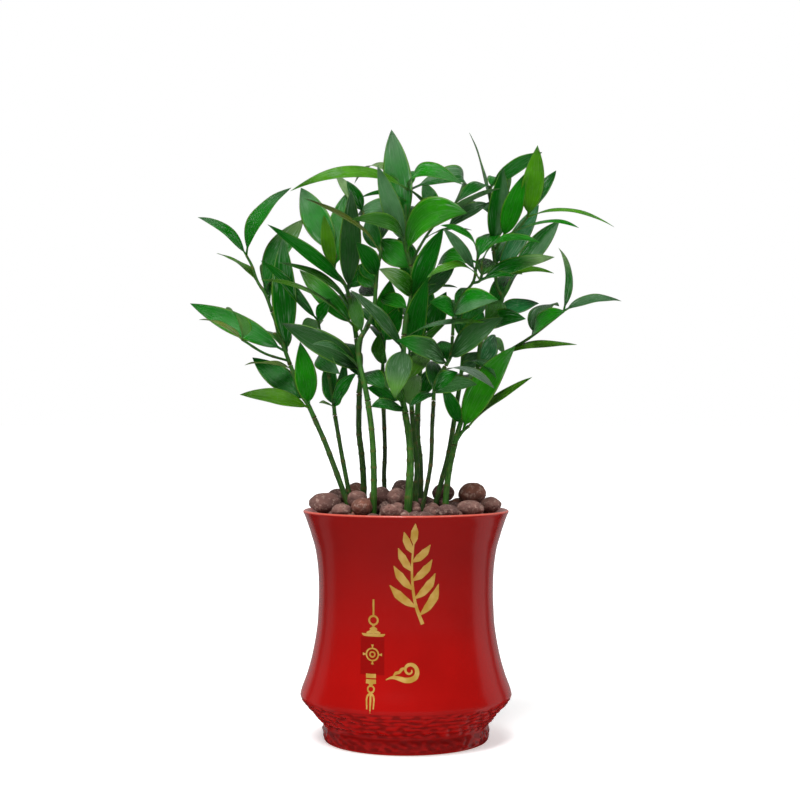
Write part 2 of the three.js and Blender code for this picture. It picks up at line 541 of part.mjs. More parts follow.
    [39.2, -19.5, 198.8, 77.9, -32, 229.2, 11, 2, 0, -0.3, -0.45, 0.85],
    [44.4, -9, 232, 56, 42, 224, 14, 7, 0, 0, 0.1, 1],
    [34, -18.2, 200, 22.5, -28, 224, 9, 3, 0, 0, -1, 0.2],
  ]],
  ["leaf_spray_11_side", [
    [1, 0.8, [46.8, -9, 236.5], [61, -13, 244], [70, -16, 249.5], [79, -20, 255.2], [98, -25, 270.3]],
  ], [
    [58, -12, 242.2, 105.7, -32, 249.1, 11, 4, 0, 0, -0.5, 0.87],
    [79, -20, 255.2, 98.7, 10, 275.8, 16, 8, 0, -0.5, -0.6, 0.6],
    [79, -20, 255.2, 96.4, -50, 268.7, 15, 4, 0, -0.1, -0.85, 0.5],
    [98, -25, 270.3, 95.8, -15, 310.9, 9, 5, 0, 0.75, -0.65, 0],
    [98, -25, 270.3, 135.4, -15, 277.2, 10, 5, 0, 0, -0.6, 0.8],
  ]],
  ["leaf_spray_11_mid", [
    [1.3, 1.2, [45.2, -8.4, 234.6], [47, -6, 250], [53, -3, 264], [58.5, -1.5, 274]],
  ], [
    [45.4, -8, 237, 58.1, 20, 258, 13, 2, 0, 0.4, -0.9, 0],
    [52.2, -3, 262, 73.6, -38, 264.6, 14, 5, 0, 0, -1, 0.3],
    [55, -2.5, 268, 86.7, 20, 278.4, 13, 3, 0, 0, -0.8, 0.6],
    [55, -2.5, 268, 78, 50, 300, 15, 9, 0, -0.3, -0.5, 1],
  ]],
  ["leaf_spray_11_high", [
    [1.2, 1.1, [58.8, -1.4, 274.6], [61.5, -1, 280], [58, 0, 288], [57, 1.5, 300], [56, 2, 310]],
    [0.9, 0.8, [61.5, -1, 280], [66.5, 0, 292]],
  ], [
    [61, -1, 279, 49, -26, 263, 13, 3, 0, 0.2, -0.9, 0.4],
    [66.5, 0, 292, 99.8, 18, 332.3, 13, 3, 0, -0.1, -1, 0.1],
    [57.5, 1, 294, 87, 25, 343.4, 12, 4, 0, 0, -1, 0.1],
    [57, 1.5, 300, 78, 55, 318, 15, 9, 0, -0.2, -0.4, 1],
  ]],
  ["leaf_spray_11_fork", [
    [0.9, 0.8, [57.4, 1, 312], [61.5, -4, 318], [70, -6, 323], [77, -8, 331]],
  ], [
    [61.5, -4, 318, 74.2, -24, 356.3, 13, 2, 0, -0.1, -1, 0.1],
    [77, -8, 331, 81.3, -32, 372.5, 14, 2, 0, 0.1, -1, 0.1],
    [77, -8, 331, 97.7, 18, 364.8, 10, 2, 0, -0.4, -0.8, 0],
    [77, -8, 331, 130.3, -20, 323.1, 10, 7, 0, 0, -0.35, 0.93],
    [66, -5, 320.7, 105.5, -45, 319.6, 10, 5, 0, 0, -0.45, 0.9],
  ]],
  ["leaf_spray_11_top", [
    [1.1, 0.9, [55.8, 2, 310.6], [54.5, 3, 330], [54, 5, 352]],
  ], [
    [54, 5, 352, 32.5, -30, 337.9, 11, 5, 0, 0.1, -0.5, 0.85],
    [54, 5, 352, 85.7, -15, 371, 13, 2, 0, -0.2, -0.8, 0.5],
    [54.2, 4, 341, 40.5, 5, 387.2, 10, 1, 0, 0.95, -0.2, 0.25],
    [54.2, 4, 342, 27.4, 15, 327.3, 12, 3, 0, 0, -0.8, 0.6],
    [55.6, 2, 313, 61.1, -12, 362.1, 14, 2, 0, 0.2, -1, 0],
    [54, 5, 350, 68, 60, 352, 14, 11, 0, 0.1, 0, 1],
    [54.4, 3.3, 333, 36, 55, 338, 15, 10, 0, 0.2, -0.1, 1],
  ]],
];

// ---------------------------------------------------------------- finishes
const glaze = { color: 0x9a1410, roughness: 0.12, metalness: 0 };
const soil = { color: 0x33241b, roughness: 0.95, metalness: 0 };
const firedClay = { color: 0x7c5a4e, roughness: 0.85, metalness: 0 };
const greenBark = { color: 0x2f6a12, roughness: 0.5, metalness: 0 };
const leafTones = [0x0b6a10, 0x2f8f14, 0x0a5212, 0x4b7f24, 0x1c7a1a];

const plant = new THREE.Group();

function addPiece(name, solid, finish) {
  const mesh = new THREE.Mesh(toGeometry(solid), new THREE.MeshStandardMaterial(finish));
  mesh.name = name;
  plant.add(mesh);
}

// ---------------------------------------------------------------- assembly
const twoDigits = (number) => String(number).padStart(2, "0");
const stemClearances = stems.map((stem) => stemBody(stem, stemSides, gap));
const twigClearances = sprays.map(([, twigs]) => twigs.map((twig) => stemBody(twig, twigSides, gap)));
const pebbleClearances = pebbles.map((row, number) => pebbleBody(row, number, gap));

addPiece("pot", potBody(), glaze);
addPiece("growing_medium", cutAway(mediumBody(), stemClearances), soil);
addPiece("pebble_bed", cutAway(bedBody(0), stemClearances), firedClay);

pebbles.forEach((row, number) => {
  const earlier = pebbleClearances.slice(0, number);
  const body = cutAway(pebbleBody(row, number, 0), [bedBody(gap), ...stemClearances, ...earlier]);
  addPiece(`clay_pebble_${twoDigits(number + 1)}`, largest(body), firedClay);
});

stems.forEach((stem, number) => {
  addPiece(`stem_${twoDigits(number + 1)}`, stemBody(stem, stemSides, 0), greenBark);
});

const leafClearances = [];
sprays.forEach(([name, twigs, leaves], number) => {
  const otherTwigs = twigClearances.filter((_, i) => i !== number).flat();
  const others = [...stemClearances, ...otherTwigs, ...leafClearances];
  const ownTwigs = twigs.map((twig) => cutAway(stemBody(twig, twigSides, 0), stemClearances))
    .reduce((all, twig) => all.add(twig));
  const blades = leaves.map((row) => largest(cutAway(leafBody(row, 0), others)));
  const spray = blades.reduce((all, blade) => all.add(blade), ownTwigs);
  const color = leafTones[number % leafTones.length];
  addPiece(name, largest(spray), { color, roughness: 0.35, metalness: 0 });
  leafClearances.push(...leaves.map((row) => leafBody(row, gap)));
});

export default plant;
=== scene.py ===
# Potted nagi tree: a footed red ceramic pot, a bed of fired clay pebbles, eleven slender seedlings and
# their glossy opposite leaves. The tables are in millimetres, +Z up, front towards -Y, as the frame is.
import bpy
import math
import random
import numpy as np
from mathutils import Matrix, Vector, noise


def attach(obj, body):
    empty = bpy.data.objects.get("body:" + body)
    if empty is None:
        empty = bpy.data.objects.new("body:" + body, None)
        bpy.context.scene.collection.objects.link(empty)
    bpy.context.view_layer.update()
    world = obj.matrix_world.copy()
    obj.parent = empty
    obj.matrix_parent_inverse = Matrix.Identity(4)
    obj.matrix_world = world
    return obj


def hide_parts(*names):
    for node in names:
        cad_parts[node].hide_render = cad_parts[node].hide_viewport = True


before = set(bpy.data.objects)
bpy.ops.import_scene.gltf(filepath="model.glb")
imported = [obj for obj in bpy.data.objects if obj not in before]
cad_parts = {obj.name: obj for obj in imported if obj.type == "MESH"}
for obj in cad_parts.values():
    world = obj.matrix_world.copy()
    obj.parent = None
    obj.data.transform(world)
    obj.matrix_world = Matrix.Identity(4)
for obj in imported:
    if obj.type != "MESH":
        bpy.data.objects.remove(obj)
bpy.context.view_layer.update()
mm = 0.001
print("frame loaded")


# ---- small helpers shared by the pieces
def paint(*levels):  # red, green and blue on the usual 0 to 255 scale, as linear light
    return tuple((c / 255 / 12.92 if c <= 10 else ((c / 255 + 0.055) / 1.055) ** 2.4) for c in levels)


def unit(v):
    return v / max(1e-9, float(np.linalg.norm(v)))


def smooth(low, high, x):
    t = np.clip((x - low) / (high - low), 0, 1)
    return t * t * (3 - 2 * t)


def curvePoint(points, t):  # centripetal curve through points, t from 0 to 1, and its direction
    last = len(points) - 1
    place = min(max(t, 0), 1) * last
    i = min(int(place), last - 1)
    w = place - i
    p1, p2 = points[i], points[i + 1]
    p0 = points[i - 1] if i > 0 else 2 * p1 - p2
    p3 = points[i + 2] if i + 2 <= last else 2 * p2 - p1
    d0, d1, d2 = (max(1e-4, float(np.linalg.norm(b - a)) ** 0.5) for a, b in ((p0, p1), (p1, p2), (p2, p3)))
    m1 = ((p1 - p0) / d0 - (p2 - p0) / (d0 + d1) + (p2 - p1) / d1) * d1
    m2 = ((p2 - p1) / d1 - (p3 - p1) / (d1 + d2) + (p3 - p2) / d2) * d1
    c2, c3 = 3 * (p2 - p1) - 2 * m1 - m2, 2 * (p1 - p2) + m1 + m2
    return p1 + w * (m1 + w * (c2 + w * c3)), unit(m1 + w * (2 * c2 + 3 * w * c3))


class Skin:  # gathers rings of points, with a place and a tint for every point, into one mesh
    def __init__(self):
        self.points, self.faces, self.places, self.tints = [], [], [], []

    def addPoint(self, p, place=(0, 0, 0), tint=(1, 1, 1)):
        self.points.append(tuple(float(c) * mm for c in p))
        self.places.append(tuple(float(c) for c in place))
        self.tints.append((float(tint[0]), float(tint[1]), float(tint[2]), 1.0))
        return len(self.points) - 1

    def bridge(self, a, b):  # a and b are closed rings of point numbers, or a ring and a single point
        count = len(a)
        for j in range(count):
            k = (j + 1) % count
            if len(b) == 1:
                self.faces.append((a[j], a[k], b[0]))
            else:
                self.faces.append((a[j], a[k], b[k], b[j]))

    def cap(self, ring, flip=False):
        self.faces.append(tuple(ring) if not flip else tuple(reversed(ring)))

    def build(self, name, material):
        mesh = bpy.data.meshes.new(name)
        mesh.from_pydata(self.points, [], self.faces)
        place = mesh.attributes.new("place", "FLOAT_VECTOR", "POINT")
        place.data.foreach_set("vector", np.array(self.places, dtype=np.float32).ravel())
        tint = mesh.attributes.new("tint", "FLOAT_COLOR", "POINT")
        tint.data.foreach_set("color", np.array(self.tints, dtype=np.float32).ravel())
        mesh.polygons.foreach_set("use_smooth", [True] * len(mesh.polygons))
        mesh.materials.append(material)
        mesh.update()
        obj = bpy.data.objects.new(name, mesh)
        bpy.context.scene.collection.objects.link(obj)
        return obj


def standFor(obj, slotName, *nodes):
    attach(obj, "root")
    if nodes:
        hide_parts(*nodes)


# ---- shader node helpers and the groups that several finishes share
def addNode(tree, kind, values=None, **settings):
    made = tree.nodes.new(kind)
    for name, value in settings.items():
        setattr(made, name, value)
    for name, value in (values or {}).items():
        made.inputs[name].default_value = value
    return made


def addMath(tree, operation, a, b=0.0):
    made = tree.nodes.new("ShaderNodeMath")
    made.operation = operation
    for number, value in enumerate((a, b)):
        if isinstance(value, (int, float)):
            made.inputs[number].default_value = value
        else:
            tree.links.new(value, made.inputs[number])
    return made.outputs[0]


def addMix(tree, share, a, b):
    made = tree.nodes.new("ShaderNodeMix")
    made.data_type = "RGBA"
    for socket, value in ((made.inputs[0], share), (made.inputs[6], a), (made.inputs[7], b)):
        if isinstance(value, tuple):
            socket.default_value = (*value[:3], 1)
        elif isinstance(value, (int, float)):
            socket.default_value = value
        else:
            tree.links.new(value, socket)
    return made.outputs[2]


def addRange(tree, value, low, high, toLow=0.0, toHigh=1.0):
    made = addNode(tree, "ShaderNodeMapRange", {1: low, 2: high, 3: toLow, 4: toHigh},
                   interpolation_type="SMOOTHSTEP")
    tree.links.new(value, made.inputs[0])
    return made.outputs[0]


def newGroup(name, inputs, outputs):
    tree = bpy.data.node_groups.new(name, "ShaderNodeTree")
    for label, kind, value in inputs:
        socket = tree.interface.new_socket(label, in_out="INPUT", socket_type=kind)
        socket.default_value = value
    for label, kind in outputs:
        tree.interface.new_socket(label, in_out="OUTPUT", socket_type=kind)
    return tree, tree.nodes.new("NodeGroupInput"), tree.nodes.new("NodeGroupOutput")


def makeMottle():  # soft cloudy change of a colour, and fine grain as a height
    tree, put, out = newGroup("mottle", [
        ("Color", "NodeSocketColor", (1, 1, 1, 1)), ("Shade", "NodeSocketColor", (0, 0, 0, 1)),
        ("Scale", "NodeSocketFloat", 60.0), ("Amount", "NodeSocketFloat", 0.4),
        ("Grain", "NodeSocketFloat", 900.0)],
        [("Color", "NodeSocketColor"), ("Mask", "NodeSocketFloat"), ("Height", "NodeSocketFloat")])
    spot = addNode(tree, "ShaderNodeTexCoord")
    cloud = addNode(tree, "ShaderNodeTexNoise", {"Detail": 5.0, "Roughness": 0.55})
    grain = addNode(tree, "ShaderNodeTexNoise", {"Detail": 3.0, "Roughness": 0.6})
    tree.links.new(spot.outputs["Object"], cloud.inputs["Vector"])
    tree.links.new(spot.outputs["Object"], grain.inputs["Vector"])
    tree.links.new(put.outputs["Scale"], cloud.inputs["Scale"])
    tree.links.new(put.outputs["Grain"], grain.inputs["Scale"])
    mask = addRange(tree, cloud.outputs["Fac"], 0.35, 0.68)
    share = addMath(tree, "MULTIPLY", mask, put.outputs["Amount"])
    tree.links.new(addMix(tree, share, put.outputs["Color"], put.outputs["Shade"]), out.inputs["Color"])
    tree.links.new(mask, out.inputs["Mask"])
    tree.links.new(grain.outputs["Fac"], out.inputs["Height"])
    return tree


mottle = makeMottle()


def newMaterial(name, values):
    made = bpy.data.materials.new(name)
    made.use_nodes = True
    shader = made.node_tree.nodes["Principled BSDF"]
    for socket, value in values.items():
        shader.inputs[socket].default_value = (*value, 1) if isinstance(value, tuple) else value
    return made, made.node_tree, shader


def addMottle(tree, values):
    made = tree.nodes.new("ShaderNodeGroup")
    made.node_tree = mottle
    for name, value in values.items():
        made.inputs[name].default_value = (*value, 1) if isinstance(value, tuple) else value
    return made


def addBump(tree, shader, height, distance, strength=1.0):
    bump = addNode(tree, "ShaderNodeBump", {"Strength": strength, "Distance": distance})
    tree.links.new(height, bump.inputs["Height"])
    tree.links.new(bump.outputs["Normal"], shader.inputs["Normal"])
    return bump


def readPlace(tree):
    place = addNode(tree, "ShaderNodeAttribute", attribute_name="place")
    split = tree.nodes.new("ShaderNodeSeparateXYZ")
    tree.links.new(place.outputs["Vector"], split.inputs[0])
    return split.outputs


def readTint(tree):
    return addNode(tree, "ShaderNodeAttribute", attribute_name="tint").outputs["Color"]


# ---- the glazed pot
potLook = {
    "glaze": paint(160, 10, 7),
    "deepGlaze": paint(104, 6, 4),
    # painted shade: the glaze is painted darker up the body and lighter low down, as the light falls
    "shadedUpperGlaze": paint(130, 7, 4),
    "shadeHeights": (0.03, 0.13),
    "panel": paint(112, 5, 4),
    "panelReach": ((0, -0.0202, 0.0072), (2, 0.061, 0.011)),
    "clay": paint(196, 160, 128),  # bare ceramic under the foot and inside below the bed
    "strandDepth": 1.05,  # how far the woven strands of the undercut and foot stand out
    "strandCount": 38,
    "strandRow": 2.9,
    "strandFoot": 10.2,  # height of the lowest row
    "strandTop": 28,
    "hollowBias": 0.42,
    "gloss": 0.19,
    "thinGlaze": (144.2, 145.3),
    "lip": paint(206, 92, 78),
    "sides": 288,
}
potOuter = [
    (0, 0), (30, 0), (49.8, 0), (51.6, 0.5), (52.3, 1.8), (52.6, 4.5), (52.8, 7.2), (52.4, 9.2),
    (52.2, 10.6),
    (53.3, 12.4), (55.1, 14.1), (58, 17.6), (61.8, 21.8), (65.1, 25.4), (66.5, 27.6), (67, 29), (66.8, 30.4),
    (66, 33.3), (64.8, 36.6), (63.3, 40.6), (61.6, 46), (59.9, 52.4), (58.3, 60), (57, 67.6), (56.1, 75),
    (55.7, 83), (55.4, 90), (55.4, 98), (55.7, 106), (56.4, 113.5), (57.6, 121), (58.7, 125.4), (59.8, 129),
    (61, 133), (62.3, 136.8), (63.5, 140.3), (64.6, 143), (65.3, 144.4), (65.2, 145.2), (64.5, 145.7),
    (63.4, 145.6), (62.4, 144.9),
]
potInner = [
    (60.2, 141), (56.6, 131), (54.2, 121), (52.1, 102), (52, 86), (54.1, 64), (57.9, 46), (61.2, 33),
    (60.9, 26.5), (52.5, 16), (47, 9.2), (30, 9), (0, 9),
]


def refine(profile, step):  # smooth curve through profile points, with a point every step
    points = [np.array((r, z, 0.0)) for r, z in profile]
    found = []
    for i in range(len(points) - 1):
        span = float(np.linalg.norm(points[i + 1] - points[i]))
        count = max(1, round(span / step))
        for j in range(count):
            spot, _ = curvePoint(points, (i + j / count) / (len(points) - 1))
            found.append((max(0.0, spot[0]), spot[1]))
    found.append(profile[-1])
    return found


def strandRelief(angle, z):
    # short uneven strands, row over row, in the undercut and round the foot
    band = smooth(10.0, 11.8, z) * (1 - smooth(25.4, 27.4, z))
    drift = Vector((8 * math.cos(angle), 8 * math.sin(angle), z / 8))
    row = (z - potLook["strandFoot"]) / potLook["strandRow"] + 0.55 * noise.noise(drift)
    course = math.floor(row)
    across = row - course
    along = angle / (2 * math.pi) * potLook["strandCount"] + 0.37 * course + 0.3 * across
    wave = math.sin(math.pi * across) * (0.3 + 0.7 * abs(math.sin(math.pi * along)))
    uneven = noise.noise(Vector((15 * math.cos(angle), 15 * math.sin(angle), z / 2.3)))
    foot = smooth(1.2, 2.4, z) * (1 - smooth(8.4, 9.6, z))
    hatch = 0.3 * math.sin(angle * 36 + z * 1.6) * (0.6 + 0.4 * math.sin(angle * 11 - z))
    return potLook["strandDepth"] * (band * (wave + 0.8 * uneven - 0.4) + foot * (hatch + 0.7 * uneven))


def potRadiusAt(z):
    outer = sorted((zz, r) for r, zz in potOuter[2:38])
    return float(np.interp(z, [p[0] for p in outer], [p[1] for p in outer]))


def makeGlaze():
    made, tree, shader = newMaterial("red glaze", {
        "Roughness": potLook["gloss"], "Specular IOR Level": 0.42})
    where = tree.nodes.new("ShaderNodeTexCoord")
    spot = addNode(tree, "ShaderNodeSeparateXYZ")
    tree.links.new(where.outputs["Object"], spot.inputs[0])
    # painted light and shade: lighter glaze low on the body, darker glaze higher up
    height = addRange(tree, spot.outputs[2], *potLook["shadeHeights"])
    clouds = addMottle(tree, {"Shade": potLook["deepGlaze"], "Scale": 14.0, "Amount": 0.3, "Grain": 160.0})
    tree.links.new(addMix(tree, height, potLook["glaze"], potLook["shadedUpperGlaze"]), clouds.inputs["Color"])
    panel = addRange(tree, spot.outputs[1], 0.001, -0.001)  # the lantern's body, front only
    for axis, centre, half in potLook["panelReach"]:
        off = addMath(tree, "ABSOLUTE", addMath(tree, "SUBTRACT", spot.outputs[axis], centre))
        panel = addMath(tree, "MULTIPLY", panel, addRange(tree, off, half + 0.0003, half - 0.0003))
    place = readPlace(tree)
    glazed = addRange(tree, place[2], 0.25, 0.75)
    hollowDarkening = addMath(tree, "MULTIPLY", addRange(tree, place[1], 0.0, 0.7), 0.8)  # darker in the hollows of the woven band
    red = addMix(tree, hollowDarkening, clouds.outputs["Color"], potLook["deepGlaze"])
    red = addMix(tree, addMath(tree, "MULTIPLY", panel, 0.6), red, potLook["panel"])
    thin = addRange(tree, place[1], 0.0, -1.0)
    red = addMix(tree, thin, red, potLook["lip"])
    clay = addNode(tree, "ShaderNodeTexNoise", {"Scale": 700.0, "Detail": 4.0})
    bare = addMix(tree, clay.outputs["Fac"], potLook["clay"], paint(160, 120, 92))
    tree.links.new(addMix(tree, glazed, bare, red), shader.inputs["Base Color"])
    tree.links.new(addRange(tree, place[2], 0.25, 0.75, 0.8, potLook["gloss"]), shader.inputs["Roughness"])
    addBump(tree, shader, clouds.outputs["Height"], 0.00012, 0.35)
    return made


def makePot():
    skin = Skin()
    rows = [(r, z, True) for r, z in refine(potOuter, 0.85)]
    rows += [(r, z, False) for r, z in refine(potInner, 4)]
    sides = potLook["sides"]
    previous = None
    for radius, z, outside in rows:
        glazedHere = 0.0 if (outside and z < 0.4) or (not outside and z < 120) else 1.0
        if radius < 0.01:
            ring = [skin.addPoint((0, 0, z), (0, 0, glazedHere))]
        else:
            ring = []
            for j in range(sides):
                angle = 2 * math.pi * j / sides
                woven = outside and z < potLook["strandTop"] and radius > 51.9
                relief = strandRelief(angle, z) if woven else 0.0
                depth = -relief / potLook["strandDepth"] + potLook["hollowBias"]
                hollow = min(1.0, max(0.0, depth)) if relief else 0.0
                if outside:
                    hollow -= float(smooth(*potLook["thinGlaze"], z))  # glaze runs thin over the lip
                r = radius + relief
                spot = (r * math.cos(angle), r * math.sin(angle), z)
                ring.append(skin.addPoint(spot, (0, hollow, glazedHere)))
        if previous:
            if len(previous) == 1:
                for j in range(sides):
                    skin.faces.append((previous[0], ring[(j + 1) % sides], ring[j]))
            else:
                skin.bridge(previous, ring)
        previous = ring
    standFor(skin.build("glazed_pot", makeGlaze()), "pot_glaze", "pot")


makePot()
print("pot turned and glazed")


# ---- gilt ornament laid on the front of the pot: a leaf sprig, a lantern and a cloud
giltLook = {
    "gold": paint(190, 146, 56), "palerGold": paint(214, 178, 98), "grain": 420.0,
    "lift": 0.12,  # above the glaze
    "bedded": -0.15,  # into the glaze
    "stalk": [(10, 80), (6, 91), (4, 103), (3.6, 116), (4.6, 128)],
    "stalkWidths": [2.2, 1.9, 1.6, 1.3, 0.9],
    "sprigLeaves": 8,
    "leftLean": 0.85,
    "rightLean": -1.3,
    "sharpAngle": 0.7,
}


def makeGilt():
    made, tree, shader = newMaterial("gilt", {"Metallic": 0.35, "Roughness": 0.42})
    clouds = addMottle(tree, {"Color": giltLook["gold"], "Shade": giltLook["palerGold"], "Scale": 130.0,
                              "Amount": 0.7, "Grain": giltLook["grain"]})
    tree.links.new(clouds.outputs["Color"], shader.inputs["Base Color"])
    tree.links.new(addRange(tree, clouds.outputs["Mask"], 0, 1, 0.34, 0.5), shader.inputs["Roughness"])
    addBump(tree, shader, clouds.outputs["Height"], 0.00008, 0.6)
    return made


def onPot(x, z, lift):  # a point on the front of the pot
    r = potRadiusAt(z) + lift
    return (x, -math.sqrt(max(1.0, r * r - x * x)), z)


def layStroke(skin, points, widths):
    # a thin raised ribbon along a smooth curve, with a width at each point
    lift, bedded = giltLook["lift"], giltLook["bedded"]
    nodes = [np.array((x, z, 0.0)) for x, z in points]
    steps = max(8, 5 * (len(points) - 1))
    left, middle, right, low, high = [], [], [], [], []
    for i in range(steps + 1):
        t = i / steps
        spot, along = curvePoint(nodes, t)
        width = float(np.interp(t, np.linspace(0, 1, len(widths)), widths)) / 2
        nx, nz = -along[1], along[0]
        for side, height, store in ((1, lift * 0.9, left), (0, lift, middle), (-1, lift * 0.9, right),
                                    (1, bedded, low), (-1, bedded, high)):
            x, z = spot[0] + nx * width * side, spot[1] + nz * width * side
            store.append(skin.addPoint(onPot(x, z, height)))
    rings = [[left[i], middle[i], right[i], high[i], low[i]] for i in range(steps + 1)]
    for a, b in zip(rings, rings[1:]):
        skin.bridge(a, b)
    skin.cap(rings[0], True)
    skin.cap(rings[-1])


def loop(x, z, radius, width):  # a small painted ring
    turns = [math.pi * i / 5 for i in range(11)]
    points = [(x + radius * math.sin(turn), z + radius * math.cos(turn)) for turn in turns]
    return points, [width] * len(points)


def makeSprig():  # alternate leaves on one bowed stalk, with a leaf at its tip
    stalk = [np.array((x, z, 0.0)) for x, z in giltLook["stalk"]]
    strokes = [(giltLook["stalk"], giltLook["stalkWidths"])]
    count = giltLook["sprigLeaves"]
    for number in range(count + 1):
        share = number / count
        spot, along = curvePoint(stalk, 0.12 + 0.88 * share)
        lean = giltLook["leftLean" if number % 2 else "rightLean"] * (1 - 0.25 * share)
        if number == count:
            lean = 0.0
        length = 22.0 - 9.0 * share
        points = []
        for part in (0, 0.3, 0.65, 1):
            swing = lean * (1 - 0.28 * part)
            way = (along[0] * math.cos(swing) - along[1] * math.sin(swing),
                   along[0] * math.sin(swing) + along[1] * math.cos(swing))
            points.append((spot[0] + way[0] * length * part, spot[1] + way[1] * length * part))
        strokes.append((points, [0.6, 4.4, 5.4 - 1.2 * share, 0.4]))
    return strokes


lanternStrokes = [
    ([(-19.6, 94.6), (-19.6, 90), (-19.6, 85)], [1.1, 1.1, 1.1]),
    loop(-19.6, 82, 2.6, 1.1),
    ([(-19.6, 79.8), (-19.6, 78.4)], [2.0, 1.6]),
    ([(-26.6, 73.9), (-25.4, 73.3), (-19.6, 73.2), (-13.8, 73.3), (-12.6, 73.9)], [0.5, 1.5, 1.8, 1.5, 0.5]),
    ([(-23.8, 74.4), (-19.6, 75.4), (-15.4, 74.4)], [0.8, 2.6, 0.8]),
    ([(-21.8, 76.6), (-19.6, 77.4), (-17.4, 76.6)], [0.8, 1.8, 0.8]),
    loop(-20.2, 61.8, 3.6, 0.9),
    loop(-20.2, 61.8, 1.5, 0.9),
    ([(-20.2, 67.6), (-20.2, 65.6)], [1.6, 0.5]),
    ([(-20.2, 56), (-20.2, 58)], [1.6, 0.5]),
    ([(-26, 61.8), (-24, 61.8)], [1.6, 0.5]),
    ([(-14.4, 61.8), (-16.4, 61.8)], [1.6, 0.5]),
    ([(-24, 49.4), (-21, 49.3), (-18, 49.4)], [2.4, 2.4, 2.4]),
    ([(-24, 46.2), (-21, 46), (-18, 46.2)], [2.4, 2.6, 2.4]),
    ([(-21, 45), (-21, 43.8)], [3.2, 1.4]),
    loop(-21, 41.8, 1.9, 1.0),
    ([(-21.1, 39.8), (-21.3, 34.9), (-21.5, 28.2)], [1.2, 1.2, 0.8]),
    ([(-21.2, 39.6), (-23.2, 37.6), (-23.4, 30.4)], [1.4, 1.1, 0.8]),
    ([(-21.2, 39.6), (-19.4, 37.6), (-19.5, 30.6)], [1.4, 1.1, 0.8]),
]
cloudStrokes = [
    ([(-12.1, 47.4), (-9.4, 48.6), (-6.8, 48.9), (-3.6, 48.2), (-0.4, 47.4), (3, 47.6), (5.8, 49.2),
      (6.7, 52), (5.8, 54.8), (3.4, 56.4), (0.9, 55.9), (-0.4, 54), (0.1, 52), (1.8, 51),
        (3.4, 51.9), (3.4, 53.4)],
     [0.4, 1.3, 2.0, 2.6, 3.1, 3.2, 3.0, 2.6, 2.3, 2.1, 1.9, 1.6, 1.3, 1.2, 1.0, 0.6]),
    ([(-7.6, 49.6), (-6, 51.4), (-4, 52), (-2.6, 53.6), (-0.4, 54.4)], [0.6, 1.8, 1.6, 1.9, 1.0]),
]
giltMaterial = makeGilt()
ornaments = {"gilt_sprig": makeSprig(), "gilt_lantern": lanternStrokes, "gilt_cloud": cloudStrokes}
for giltName, strokes in ornaments.items():
    giltSkin = Skin()
    for strokePoints, strokeWidths in strokes:
        layStroke(giltSkin, strokePoints, strokeWidths)
    laid = giltSkin.build(giltName, giltMaterial)
    laid.data.set_sharp_from_angle(angle=giltLook["sharpAngle"])
    standFor(laid, "gilt", "pot")
print("gilt laid on")


# ---- growing medium, hidden under the pebbles
def makeSoil():
    made, tree, shader = newMaterial("growing medium", {"Roughness": 0.95})
    clouds = addMottle(tree, {"Color": paint(52, 38, 28), "Shade": paint(24, 17, 12), "Scale": 240.0,
                              "Amount": 0.8, "Grain": 900.0})
    tree.links.new(clouds.outputs["Color"], shader.inputs["Base Color"])
    addBump(tree, shader, clouds.outputs["Height"], 0.0012)
    return made


soil = makeSoil()
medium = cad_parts["growing_medium"]
medium.data.materials.clear()
medium.data.materials.append(soil)


# ---- fired clay pebbles
clayLook = {
    "tones": [paint(132, 92, 82), paint(116, 80, 72), paint(142, 102, 92), paint(102, 72, 66),
              paint(140, 86, 68)],
    "crust": paint(196, 166, 152),
    "pore": paint(42, 34, 32),
    "cracked": (8, 12, 14),  # as well as every third one
    "fillers": 330,
    "smallest": 6.0,
    "largest": 10.5,
}
pebbleRows = [
    (-50, -22, 151, 20, 17, 13.5, 10),
    (-27, -38, 149.5, 14, 12, 11, 35),
    (-39.5, -36, 147, 13, 10, 9, -20),
    (-30.5, -20, 153, 13, 12, 12, 15),
    (-44, 6, 153, 14, 13, 11, 60),
    (-16, -14, 154.6, 14, 13, 12.5, 0),
    (-33, 26, 155.5, 15, 14, 12, 20),
    (-5.6, -24, 154.5, 13, 12, 12.5, 40),
    (-8.5, -50, 147.4, 15, 10, 9, 0),
    (-1, 8, 157.8, 17, 15, 13, 10),
    (24, 12, 155.5, 15, 14, 12, -30),
    (42, -6, 156, 17.6, 16, 14.5, 0),
    (39.5, -34, 148.5, 17, 13, 10, 12),
    (53, -17, 149.6, 13.5, 12, 10, -25),
    (25, -49, 147, 14.5, 10, 9.5, -8),
    (5, 42, 152, 16, 14, 12, 30),
]

